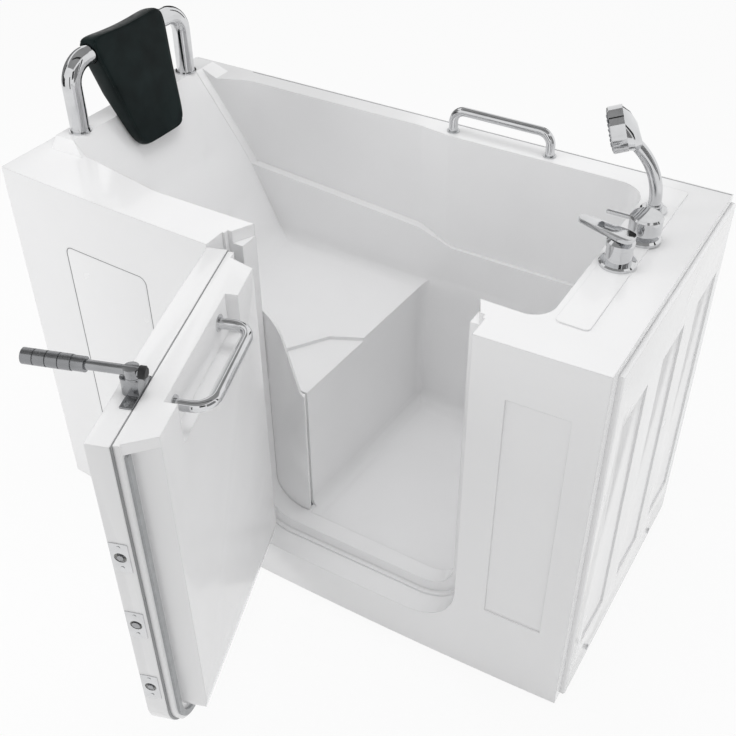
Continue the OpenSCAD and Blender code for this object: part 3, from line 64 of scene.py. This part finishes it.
class Mat:
    """A Principled material whose colour, roughness and normal come from procedural textures."""

    def __init__(self, name, base, rough, metallic=0.0, **sockets):
        self.material = bpy.data.materials.new(name)
        self.material.use_nodes = True
        self.tree = self.material.node_tree
        self.tree.nodes.clear()
        out = self.add("ShaderNodeOutputMaterial")
        self.bsdf = self.add("ShaderNodeBsdfPrincipled")
        self.link(self.bsdf, 0, out, 0)
        self.bsdf.inputs["Base Color"].default_value = (*base, 1)
        self.bsdf.inputs["Roughness"].default_value = rough
        self.bsdf.inputs["Metallic"].default_value = metallic
        for key, value in sockets.items():
            self.bsdf.inputs[key.replace("_", " ")].default_value = value
        self.material.diffuse_color = (*base, 1)
        self.coord = self.add("ShaderNodeTexCoord")
        self.normal = None

    def add(self, kind):
        return self.tree.nodes.new(kind)

    def link(self, start, output, end, socket):
        self.tree.links.new(start.outputs[output], end.inputs[socket])

    def place(self, texture, stretch=(1, 1, 1)):
        """Ties a texture to the object, so that it moves along with it."""
        mapping = self.add("ShaderNodeMapping")
        mapping.inputs["Scale"].default_value = stretch
        self.link(self.coord, "Object", mapping, "Vector")
        self.link(mapping, "Vector", texture, "Vector")

    def noise(self, scale, detail, stretch=(1, 1, 1)):
        texture = self.add("ShaderNodeTexNoise")
        texture.inputs["Scale"].default_value = scale
        texture.inputs["Detail"].default_value = detail
        self.place(texture, stretch)
        return texture, "Fac"

    def cells(self, scale, feature):
        texture = self.add("ShaderNodeTexVoronoi")
        texture.feature = feature
        texture.inputs["Scale"].default_value = scale
        self.place(texture)
        return texture, "Distance"

    def colours(self, source, dark, light):
        ramp = self.add("ShaderNodeValToRGB")
        ends = ramp.color_ramp.elements
        ends[0].position, ends[0].color = TEXTURE_LOW, (*dark, 1)
        ends[1].position, ends[1].color = TEXTURE_HIGH, (*light, 1)
        self.link(*source, ramp, "Fac")
        self.link(ramp, "Color", self.bsdf, "Base Color")

    def roughs(self, source, low, high):
        ranged = self.add("ShaderNodeMapRange")
        ranged.inputs["From Min"].default_value = TEXTURE_LOW
        ranged.inputs["From Max"].default_value = TEXTURE_HIGH
        ranged.inputs["To Min"].default_value = low
        ranged.inputs["To Max"].default_value = high
        self.link(*source, ranged, "Value")
        self.link(ranged, "Result", self.bsdf, "Roughness")

    def use_normal(self, node):
        self.normal = node
        self.link(node, "Normal", self.bsdf, "Normal")

    def soft_edges(self, radius):
        edges = self.add("ShaderNodeBevel")
        edges.samples = EDGE_SAMPLES
        edges.inputs["Radius"].default_value = radius
        self.use_normal(edges)

    def bump(self, source, distance, strength):
        """Relief on top of the soft edges and of any relief made before."""
        relief = self.add("ShaderNodeBump")
        relief.inputs["Distance"].default_value = distance
        relief.inputs["Strength"].default_value = strength
        self.link(*source, relief, "Height")
        if self.normal:
            self.link(self.normal, "Normal", relief, "Normal")
        self.use_normal(relief)


def shade(colour, factor):
    """The colour made darker or lighter, kept between 0 and 1."""
    return tuple(max(0.0, min(1.0, v * factor)) for v in colour)


def acrylic(name, base, rough):
    m = Mat(name, base, rough, Coat_Weight=0.35, Coat_Roughness=0.07, IOR=1.49)
    m.colours(m.noise(scale=3.2, detail=4), dark=shade(base, 0.975), light=base)
    m.roughs(m.noise(scale=9, detail=5), low=rough - 0.05, high=rough + 0.07)
    m.soft_edges(radius=0.0022)
    m.bump(m.noise(scale=48, detail=2), distance=0.00012, strength=0.35)
    return m.material


def plastic(name, base, rough, grain=420, depth=0.00008):
    m = Mat(name, base, rough, IOR=1.5)
    m.colours(m.noise(scale=22, detail=4), dark=shade(base, 0.92), light=shade(base, 1.04))
    m.roughs(m.noise(scale=40, detail=4), low=rough - 0.06, high=rough + 0.08)
    m.soft_edges(radius=0.0006)
    m.bump(m.noise(scale=grain, detail=2), distance=depth, strength=0.5)
    return m.material


def metal(name, base, rough, spread, grain=60, stretch=(1, 1, 1), depth=0.00002):
    m = Mat(name, base, rough, metallic=1.0)
    m.colours(m.noise(scale=30, detail=4), dark=shade(base, 0.9), light=shade(base, 1.03))
    m.roughs(m.noise(scale=grain, detail=5, stretch=stretch), low=rough - spread, high=rough + spread)
    m.soft_edges(radius=0.0005)
    m.bump(m.noise(scale=grain * 4, detail=3, stretch=stretch), distance=depth, strength=0.4)
    return m.material


def rubber(name, base, rough, grain=300, depth=0.0001):
    m = Mat(name, base, rough, IOR=1.47, Sheen_Weight=0.15, Sheen_Roughness=0.5)
    m.colours(m.noise(scale=36, detail=5), dark=shade(base, 0.9), light=shade(base, 1.06))
    m.roughs(m.noise(scale=70, detail=4), low=rough - 0.08, high=rough + 0.08)
    m.bump(m.cells(scale=grain, feature="F1"), distance=depth, strength=0.4)
    return m.material


def leather(name, base, rough):
    """Soft unevenness first, then the grain's cells, then the fine pores."""
    m = Mat(name, base, rough, IOR=1.45, Specular_IOR_Level=0.16)
    m.colours(m.noise(scale=18, detail=6), dark=(0.003, 0.0065, 0.0068), light=(0.008, 0.0155, 0.0155))
    m.roughs(m.noise(scale=60, detail=5), low=0.34, high=0.5)
    m.bump(m.noise(scale=14, detail=3), distance=0.0012, strength=0.25)
    m.bump(m.cells(scale=330, feature="DISTANCE_TO_EDGE"), distance=0.00035, strength=0.5)
    m.bump(m.noise(scale=900, detail=2), distance=0.00008, strength=0.4)
    return m.material


look = {
    "shell_white": acrylic("dress_shell_white", (0.925, 0.925, 0.93), 0.2),
    "panel_white": acrylic("dress_panel_white", (0.925, 0.925, 0.93), 0.22),
    "door_white": acrylic("dress_door_white", (0.915, 0.915, 0.92), 0.2),
    "seam_grey": plastic("dress_seam_grey", (0.3, 0.305, 0.31), 0.4),
    "gasket_grey": rubber("dress_gasket_grey", (0.42, 0.43, 0.44), 0.5, grain=700, depth=0.00003),
    "frame_steel": plastic("dress_frame_steel", (0.14, 0.145, 0.155), 0.45, grain=260, depth=0.0002),
    "zinc": metal("dress_zinc", (0.58, 0.6, 0.62), 0.36, spread=0.1, grain=90),
    "stainless": metal("dress_stainless", (0.62, 0.63, 0.64), 0.28, spread=0.08, grain=120,
                       stretch=(1, 1, 14)),
    "chrome": metal("dress_chrome", (0.68, 0.685, 0.695), 0.07, spread=0.025, grain=26, depth=0.000003),
    "satin_dark": metal("dress_satin_dark", (0.38, 0.385, 0.395), 0.22, spread=0.05, grain=110,
                        stretch=(1, 1, 9)),
    "grip_grey": metal("dress_grip_grey", (0.3, 0.305, 0.315), 0.24, spread=0.05, grain=130,
                       stretch=(1, 1, 5)),
    "black_rubber": rubber("dress_black_rubber", (0.012, 0.012, 0.013), 0.5),
    "pad_black": leather("dress_pad_black", (0.005, 0.0095, 0.0095), 0.45),
    "pipe_white": plastic("dress_pipe_white", (0.76, 0.76, 0.73), 0.38),
    "nylon": plastic("dress_nylon", (0.68, 0.68, 0.64), 0.42),
    "brass": metal("dress_brass", (0.68, 0.5, 0.22), 0.3, spread=0.09, grain=80),
    "copper": metal("dress_copper", (0.6, 0.3, 0.18), 0.32, spread=0.1, grain=50),
    "spray_grey": plastic("dress_spray_grey", (0.27, 0.28, 0.3), 0.36),
}


# ---- the CAD nodes: rounded edges, smooth rounds and dressed materials ----

SMOOTH_UNDER = math.radians(32)    # edges flatter than this are shaded smooth
FLAT_UNDER = math.radians(0.6)     # faces that differ by less than this count as one flat face
BEVEL_OVER = math.radians(40)      # edges sharper than this get their bevel
BEVEL_STEPS = 3
WELD_M = 0.00001

# Width of the bevel in mm, for the nodes whose cut edges show
EDGE_MM = {
    "end_panel": 2.0, "access_panel": 1.2, "door_outer_skin": 1.6, "door_inner_pan": 3.0,
    "latch_base": 0.8, "mixer_lever": 0.5, "strike_plates": 0.4, "faceplates": 0.5,
    "hinge_leaves_door": 0.5, "hinge_leaves_jamb": 0.5, "base_frame": 0.8,
}


def smooth_group():
    """Nodes that drop the stored normals and shade all but the sharp edges smooth."""
    tree = bpy.data.node_groups.new("smooth_by_angle", "GeometryNodeTree")
    tree.interface.new_socket("Geometry", in_out="INPUT", socket_type="NodeSocketGeometry")
    tree.interface.new_socket("Geometry", in_out="OUTPUT", socket_type="NodeSocketGeometry")
    start = tree.nodes.new("NodeGroupInput")
    end = tree.nodes.new("NodeGroupOutput")
    drop = tree.nodes.new("GeometryNodeRemoveAttribute")
    drop.inputs["Name"].default_value = "custom_normal"
    faces = tree.nodes.new("GeometryNodeSetShadeSmooth")
    edges = tree.nodes.new("GeometryNodeSetShadeSmooth")
    edges.domain = "EDGE"
    angle = tree.nodes.new("GeometryNodeInputMeshEdgeAngle")
    flat_enough = tree.nodes.new("FunctionNodeCompare")
    flat_enough.operation = "LESS_EQUAL"
    flat_enough.inputs[1].default_value = SMOOTH_UNDER
    link = tree.links.new
    link(start.outputs[0], drop.inputs["Geometry"])
    link(drop.outputs["Geometry"], faces.inputs["Geometry"])
    link(faces.outputs["Geometry"], edges.inputs["Geometry"])
    link(angle.outputs["Unsigned Angle"], flat_enough.inputs[0])
    link(flat_enough.outputs["Result"], edges.inputs["Shade Smooth"])
    link(edges.outputs["Geometry"], end.inputs[0])
    return tree


smooth_tree = smooth_group()
slot_of = {part["node"]: part["material_slot"] for part in frame["record"]["subparts"]}


def smooth_rounds(obj):
    obj.modifiers.new("smooth", "NODES").node_group = smooth_tree


def dress(name, obj):
    obj.data.materials.clear()
    obj.data.materials.append(look[slot_of[name]])
    weld = obj.modifiers.new("weld", "WELD")
    weld.merge_threshold = WELD_M
    if name in EDGE_MM:
        flat = obj.modifiers.new("flat", "DECIMATE")
        flat.decimate_type = "DISSOLVE"
        flat.angle_limit = FLAT_UNDER
        bevel = obj.modifiers.new("edge", "BEVEL")
        bevel.width = EDGE_MM[name] / 1000
        bevel.segments = BEVEL_STEPS
        bevel.limit_method = "ANGLE"
        bevel.angle_limit = BEVEL_OVER
    smooth_rounds(obj)


for name, obj in frame["nodes"].items():
    dress(name, obj)


# ---- pieces modelled here ----

TUBE_SIDES = 8
ASKEW = Vector((0.31, 0.17, 0.93))    # a direction that no tube here runs in


def piece(name, verts, faces, slot, body):
    mesh = bpy.data.meshes.new(name)
    mesh.from_pydata(verts, [], faces)
    mesh.update()
    obj = bpy.data.objects.new(name, mesh)
    scene.collection.objects.link(obj)
    turned = bmesh.new()
    turned.from_mesh(mesh)
    bmesh.ops.recalc_face_normals(turned, faces=turned.faces)
    turned.to_mesh(mesh)
    turned.free()
    mesh.shade_smooth()
    mesh.materials.append(look[slot])
    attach(obj, body)
    return obj


def tube_along(points, radius, closed=True):
    """Vertices and faces of a round tube along a list of points."""
    verts, faces, n = [], [], len(points)
    for i, point in enumerate(points):
        before = points[i - 1] if closed or i else point
        after = points[(i + 1) % n] if closed or i < n - 1 else point
        ahead = (after - before).normalized()
        side = ahead.cross(ASKEW).normalized()
        up = side.cross(ahead)
        for k in range(TUBE_SIDES):
            a = 2 * math.pi * k / TUBE_SIDES
            verts.append(point + radius * (math.cos(a) * side + math.sin(a) * up))
    for i in range(n if closed else n - 1):
        here, there = i * TUBE_SIDES, (i + 1) % n * TUBE_SIDES
        for k in range(TUBE_SIDES):
            beside = (k + 1) % TUBE_SIDES
            faces.append((here + k, here + beside, there + beside, there + k))
    if not closed:
        last = (n - 1) * TUBE_SIDES
        faces.append(tuple(range(TUBE_SIDES)))
        faces.append(tuple(range(last + TUBE_SIDES - 1, last - 1, -1)))
    return verts, faces


# The headrest's cushion has the sizes of its solid, in metres, about the bar that it turns on
PAD_AT = joint_at("headrest_tilt")
PAD_LEAN, BACK_LEAN = math.radians(14.7), math.radians(25.8)
PAD_TOP_W, PAD_LOW_W = 0.240, 0.146
PAD_L = 0.268
PAD_T, PAD_LOW_T = 0.056, 0.028
PAD_ABOVE = 0.038                 # how far the cushion reaches above the bar's axis
PAD_DIP = 0.009                   # how far the middle of its top edge sinks
PAD_WAIST = 0.003                 # how far its sides curve inwards
PAD_CLEAR = 0.0012                # its distance from the backrest
BACK_X, BACK_Z = 0.032, -0.174    # a point of the backrest, seen from the bar's axis
PAD_SWELL = 0.045                 # how much thinner the cushion is at its edges than in the middle
CORNER_POWER = 8                  # how square its outline is
EDGE_POWER, EDGE_ROUND = 46, 0.4  # how late and how roundly its faces fall to the edge
PAD_ROWS, PAD_COLS = 72, 64
BAR_R = 0.021
PAD_BORES = ((BAR_R + 0.0012, 0.6), (BAR_R + 0.0029, 0.1912))    # radius and length, for bar and sleeve
BORE_SIDES = 48
WELT_REACH = 0.972                # how near the welt runs to the cushion's edge
WELT_STEPS, WELT_R = 40, 0.0017
pad_turn = Matrix.Translation(PAD_AT) @ Matrix.Rotation(-PAD_LEAN, 4, "Y")


def pad_rest(down):
    """Where the backrest is behind the cushion, at a distance below the bar's axis."""
    c, s = math.cos(PAD_LEAN), math.sin(PAD_LEAN)
    return BACK_X * c + BACK_Z * s + (down - BACK_X * s + BACK_Z * c) * math.tan(BACK_LEAN - PAD_LEAN)


def pad_back(s):
    """The cushion's back, s running from 0 at the top to 1 at the bottom: flat, then along the backrest."""
    return max(-PAD_T / 2, pad_rest(s * PAD_L - PAD_ABOVE) + PAD_CLEAR)


def pad_front(s):
    """The cushion's front: it leans back evenly from the full thickness to that of the lower edge."""
    return PAD_T / 2 + s * (pad_back(1) + PAD_LOW_T - PAD_T / 2)


def fall(t):
    """1 over most of a face, falling to 0 at its edge."""
    return max(0.0, 1 - abs(t) ** EDGE_POWER) ** EDGE_ROUND


def pad_point(row, col, face):
    """A point of the cushion: row and col from -1 to 1, face 1 in front, -1 behind and 0 on the edge."""
    m = max(abs(row), abs(col))
    pull = 1.0 if m == 0 else m / (abs(row) ** CORNER_POWER + abs(col) ** CORNER_POWER) ** (1 / CORNER_POWER)
    s = (1 + row * pull) / 2
    half = (PAD_TOP_W + (PAD_LOW_W - PAD_TOP_W) * s) / 2 - PAD_WAIST * math.sin(math.pi * s)
    dip = PAD_DIP * (1 - col * col) * (1 - s) ** 3
    front, back = pad_front(s), pad_back(s)
    swell = 1 - PAD_SWELL * (col * col + row * row)
    x = (front + back + face * (front - back) * fall(row) * fall(col) * swell) / 2
    return Vector((x, col * pull * half, PAD_ABOVE - s * PAD_L - dip))


def pad_grid():
    """The cushion's front and back, which share the points of their rim. Lines lie closer at the edges."""
    def key_of(i, j, face):
        rim = i in (0, PAD_ROWS) or j in (0, PAD_COLS)
        return i, j, 0 if rim else face

    verts, faces, at = [], [], {}
    for face in (1, -1):
        for i in range(PAD_ROWS + 1):
            for j in range(PAD_COLS + 1):
                key = key_of(i, j, face)
                if key not in at:
                    row = math.sin(math.pi / 2 * (-1 + 2 * i / PAD_ROWS))
                    col = math.sin(math.pi / 2 * (-1 + 2 * j / PAD_COLS))
                    at[key] = len(verts)
                    verts.append(pad_turn @ pad_point(row, col, key[2]))
        for i in range(PAD_ROWS):
            for j in range(PAD_COLS):
                corners = (i, j), (i, j + 1), (i + 1, j + 1), (i + 1, j)
                faces.append([at[key_of(*corner, face)] for corner in corners])
    return verts, faces


def cut_bores(pad):
    """Cuts the room for the bar and its sleeve out of the cushion."""
    bore = bpy.data.meshes.new("pad_bore")
    rods = bmesh.new()
    for radius, length in PAD_BORES:
        bmesh.ops.create_cone(rods, cap_ends=True, segments=BORE_SIDES, radius1=radius, radius2=radius,
                              depth=length, matrix=pad_turn @ Matrix.Rotation(math.pi / 2, 4, "X"))
    rods.to_mesh(bore)
    rods.free()
    cutter = bpy.data.objects.new("pad_bore", bore)
    scene.collection.objects.link(cutter)
    cut = pad.modifiers.new("bore", "BOOLEAN")
    cut.operation, cut.object, cut.solver = "DIFFERENCE", cutter, "EXACT"
    cut.use_self = True
    bpy.context.view_layer.update()
    done = bpy.data.meshes.new_from_object(pad.evaluated_get(bpy.context.evaluated_depsgraph_get()))
    pad.modifiers.clear()
    pad.data = done
    done.shade_smooth()
    bpy.data.objects.remove(cutter)


def make_pad():
    pad = piece("headrest_cushion", *pad_grid(), "pad_black", "headrest")
    cut_bores(pad)
    smooth_rounds(pad)
    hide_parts("headrest_pad")


def make_welt():
    loop, k = [], WELT_REACH
    for side in range(4):
        for i in range(WELT_STEPS):
            t = -k + 2 * k * i / WELT_STEPS
            row, col = ((-k, t), (t, k), (k, -t), (-t, -k))[side]
            loop.append(pad_turn @ pad_point(row, col, 1))
    piece("headrest_welt", *tube_along(loop, WELT_R), "pad_black", "headrest")


make_pad()
make_welt()


# Thin grey beads, in metres: in the gap round the service hatch, painted shade for the gap's shadow, and along the
# deck's rear edge, a seam that also paints the shade line there
SHELL_LOW, SHELL_HIGH = box_of("tub_shell")
HALF_L, HALF_W = SHELL_HIGH.x, SHELL_HIGH.y
FRONT_BOW = -SHELL_LOW.y - HALF_W    # how far the front stands out in the middle
HATCH_LOW, HATCH_HIGH = box_of("access_panel")
HALF_GAP = 0.0006                    # from the hatch's edge to the middle of the gap round it
GAP_CORNER_R = 0.0174
HATCH_BEAD_R, HATCH_BEAD_IN = 0.0011, 0.0005
CORNER_STEPS = 8
BEAD_STEP = 0.03                     # longest stretch between two points, as the front is bowed
DECK_Z = 0.896
DECK_BEAD_X = (-0.50, HALF_L - 0.002)
DECK_BEAD_Y = HALF_W - 0.0045
DECK_BEAD_R, DECK_BEAD_STEPS = 0.0009, 24


def on_front(x, z):
    """A point in the hatch's gap, just inside the bowed front."""
    return Vector((x, -HALF_W - FRONT_BOW * (1 - (x / HALF_L) ** 2) + HATCH_BEAD_IN, z))


# The grey bead is painted shade: a dark line laid in the hatch's gap where the shadow in the gap would fall.
def hatch_gap_shade_bead():
    inset = GAP_CORNER_R - HALF_GAP
    left, right = HATCH_LOW.x + inset, HATCH_HIGH.x - inset
    low, high = HATCH_LOW.z + inset, HATCH_HIGH.z - inset
    outline = []
    for at_x, at_z, start in ((right, low, -90), (right, high, 0), (left, high, 90), (left, low, 180)):
        for i in range(CORNER_STEPS + 1):
            a = math.radians(start + 90 * i / CORNER_STEPS)
            outline.append(on_front(at_x + GAP_CORNER_R * math.cos(a), at_z + GAP_CORNER_R * math.sin(a)))
    path = []
    for p, q in zip(outline, outline[1:] + outline[:1]):
        parts = 1 + int((q - p).length / BEAD_STEP)
        for i in range(parts):
            between = p.lerp(q, i / parts)
            path.append(on_front(between.x, between.z))
    piece("hatch_gap_shade_bead", *tube_along(path, HATCH_BEAD_R), "seam_grey", "tub")


# A seam along the deck's rear edge, whose grey also paints the shade line that falls along that edge.
def deck_seam_shade_bead():
    left, right = (Vector((x, DECK_BEAD_Y, DECK_Z)) for x in DECK_BEAD_X)
    path = [left.lerp(right, i / DECK_BEAD_STEPS) for i in range(DECK_BEAD_STEPS + 1)]
    piece("deck_seam_shade_bead", *tube_along(path, DECK_BEAD_R, closed=False), "seam_grey", "tub")


hatch_gap_shade_bead()
deck_seam_shade_bead()


# ---- stage: floor, surroundings, cards for the reflections, lamps and camera ----

FLOOR_SIDE, FLOOR_TONE = 40, 0.85
FLOOR_GLOW = 0.9       # the share of the floor's look that is plain white; the rest shows the shadow
DOME_LIGHT = 0.66      # how strongly the surroundings light the part, which look white themselves
CARD_ROUGH = 0.9


def plain(name, at, size, tilt=0, heading=0):
    """A flat rectangle of the stage, tilted about X and then turned about Z, in degrees."""
    mesh = bpy.data.meshes.new(name)
    w, h = size[0] / 2, size[1] / 2
    mesh.from_pydata([(-w, -h, 0), (w, -h, 0), (w, h, 0), (-w, h, 0)], [], [(0, 1, 2, 3)])
    obj = bpy.data.objects.new(name, mesh)
    turn = Matrix.Rotation(math.radians(heading), 4, "Z") @ Matrix.Rotation(math.radians(tilt), 4, "X")
    obj.matrix_world = Matrix.Translation(at) @ turn
    scene.collection.objects.link(obj)
    return obj


def seen_share(tree, share):
    """The given share for camera, glossy and transmission rays, and 0 for all others."""
    path = tree.nodes.new("ShaderNodeLightPath")
    most = path.outputs["Is Camera Ray"]
    for other in ("Is Glossy Ray", "Is Transmission Ray"):
        top = tree.nodes.new("ShaderNodeMath")
        top.operation = "MAXIMUM"
        tree.links.new(most, top.inputs[0])
        tree.links.new(path.outputs[other], top.inputs[1])
        most = top.outputs[0]
    scaled = tree.nodes.new("ShaderNodeMath")
    scaled.operation = "MULTIPLY"
    scaled.inputs[1].default_value = share
    tree.links.new(most, scaled.inputs[0])
    return scaled.outputs[0]


def seen_and_lit(owner, output, share, lit_kind, lit_inputs, seen_kind):
    """White to look at, to the given share, and another surface for the light itself."""
    owner.use_nodes = True
    tree = owner.node_tree
    tree.nodes.clear()
    out, lit, seen = (tree.nodes.new(kind) for kind in (output, lit_kind, seen_kind))
    for key, value in lit_inputs.items():
        lit.inputs[key].default_value = value
    seen.inputs["Color"].default_value = (1, 1, 1, 1)
    seen.inputs["Strength"].default_value = 1.0
    mixed = tree.nodes.new("ShaderNodeMixShader")
    tree.links.new(seen_share(tree, share), mixed.inputs[0])
    tree.links.new(lit.outputs[0], mixed.inputs[1])
    tree.links.new(seen.outputs[0], mixed.inputs[2])
    tree.links.new(mixed.outputs[0], out.inputs[0])


floor = plain("floor", Vector((0, 0, 0)), (FLOOR_SIDE, FLOOR_SIDE))
floor_paper = bpy.data.materials.new("stage_floor")
seen_and_lit(floor_paper, "ShaderNodeOutputMaterial", FLOOR_GLOW, "ShaderNodeBsdfDiffuse",
             {"Color": (FLOOR_TONE, FLOOR_TONE, FLOOR_TONE, 1)}, "ShaderNodeEmission")
floor.data.materials.append(floor_paper)

world = bpy.data.worlds.new("studio")
scene.world = world
seen_and_lit(world, "ShaderNodeOutputWorld", 1.0, "ShaderNodeBackground",
             {"Color": (1, 1, 1, 1), "Strength": DOME_LIGHT}, "ShaderNodeBackground")


def card_paper(name, tone):
    paper = bpy.data.materials.new(name)
    paper.use_nodes = True
    bsdf = paper.node_tree.nodes["Principled BSDF"]
    bsdf.inputs["Base Color"].default_value = (tone, tone, tone, 1)
    bsdf.inputs["Roughness"].default_value = CARD_ROUGH
    return paper


PAPERS = {
    "slate": card_paper("stage_slate", 0.03),
    "mist": card_paper("stage_mist", 0.3),
    "haze": card_paper("stage_haze", 0.5),
}

# Cards that show in reflections alone: paper, place, size, tilt and heading
CARDS = (
    ("slate", (-2.6, -1.2, 1.6), (0.5, 2.4), 90, 115),
    ("slate", (2.7, 0.8, 1.7), (0.45, 2.4), 90, 75),
    ("slate", (0.2, 3.0, 1.9), (0.5, 2.6), 90, 0),
    ("slate", (0.1, -0.3, 3.6), (3.4, 0.35), 0, 20),
    ("slate", (0.6, -3.0, 1.1), (0.5, 2.0), 90, 10),
    ("slate", (-1.9, 2.4, 1.3), (1.3, 2.2), 90, 35),
    ("slate", (2.4, -2.2, 2.2), (1.2, 1.6), 90, 45),
    ("slate", (-2.8, -2.2, 0.9), (1.4, 1.2), 90, -50),
    ("mist", (-3.6, 0.6, 1.6), (3.6, 2.6), 90, 97),
    ("mist", (3.6, -0.6, 1.9), (2.4, 2.8), 90, 80),
    ("haze", (0.0, 0.0, 4.6), (7.0, 7.0), 0, 0),
)

for i, (paper, at, size, tilt, heading) in enumerate(CARDS):
    card = plain("card_%d" % i, Vector(at), size, tilt, heading)
    card.data.materials.append(PAPERS[paper])
    card.visible_camera = False
    card.visible_diffuse = False
    card.visible_shadow = False
    card.visible_transmission = False


def lamp(name, at, towards, side, watts):
    """A square lamp that lights the part but doesn't show in its reflections."""
    data = bpy.data.lights.new(name, "AREA")
    data.shape = "RECTANGLE"
    data.size = data.size_y = side
    data.energy = watts
    obj = bpy.data.objects.new(name, data)
    obj.location = at
    obj.rotation_euler = (Vector(towards) - Vector(at)).to_track_quat("-Z", "Y").to_euler()
    obj.visible_glossy = False
    scene.collection.objects.link(obj)


lamp("overhead", at=(0.2, 0.0, 3.6), towards=(0.0, 0.0, 0.4), side=1.5, watts=22)
lamp("key", at=(-2.7, -2.0, 1.7), towards=(-0.1, -0.1, 0.5), side=1.4, watts=25)
lamp("side", at=(3.2, 0.2, 1.5), towards=(0.2, 0.0, 0.5), side=1.6, watts=9)

# The camera was fitted to the photo's straight edges
LENS_MM, SENSOR_MM = 51.03, 36
SHIFT_X, SHIFT_Y = 0.0038, -0.0228
CAMERA_AT = (1.0014, -1.5979, 1.9520)
FORWARD, RIGHT = Vector((-0.4110, 0.6652, -0.6235)), Vector((0.8507, 0.5257, 0))
ROLL = math.radians(-0.634)


def make_camera():
    camera = bpy.data.cameras.new("camera")
    camera.lens, camera.sensor_width = LENS_MM, SENSOR_MM
    camera.shift_x, camera.shift_y = SHIFT_X, SHIFT_Y
    eye = bpy.data.objects.new("camera", camera)
    scene.collection.objects.link(eye)
    forward, right = FORWARD.normalized(), RIGHT.normalized()
    above = right.cross(forward)
    axis_x = math.cos(ROLL) * right + math.sin(ROLL) * above
    axis_y = -math.sin(ROLL) * right + math.cos(ROLL) * above
    turned = Matrix((axis_x, axis_y, -forward)).transposed().to_4x4()
    eye.matrix_world = Matrix.Translation(CAMERA_AT) @ turned
    return eye


scene.camera = make_camera()
scene.view_settings.view_transform = "Standard"
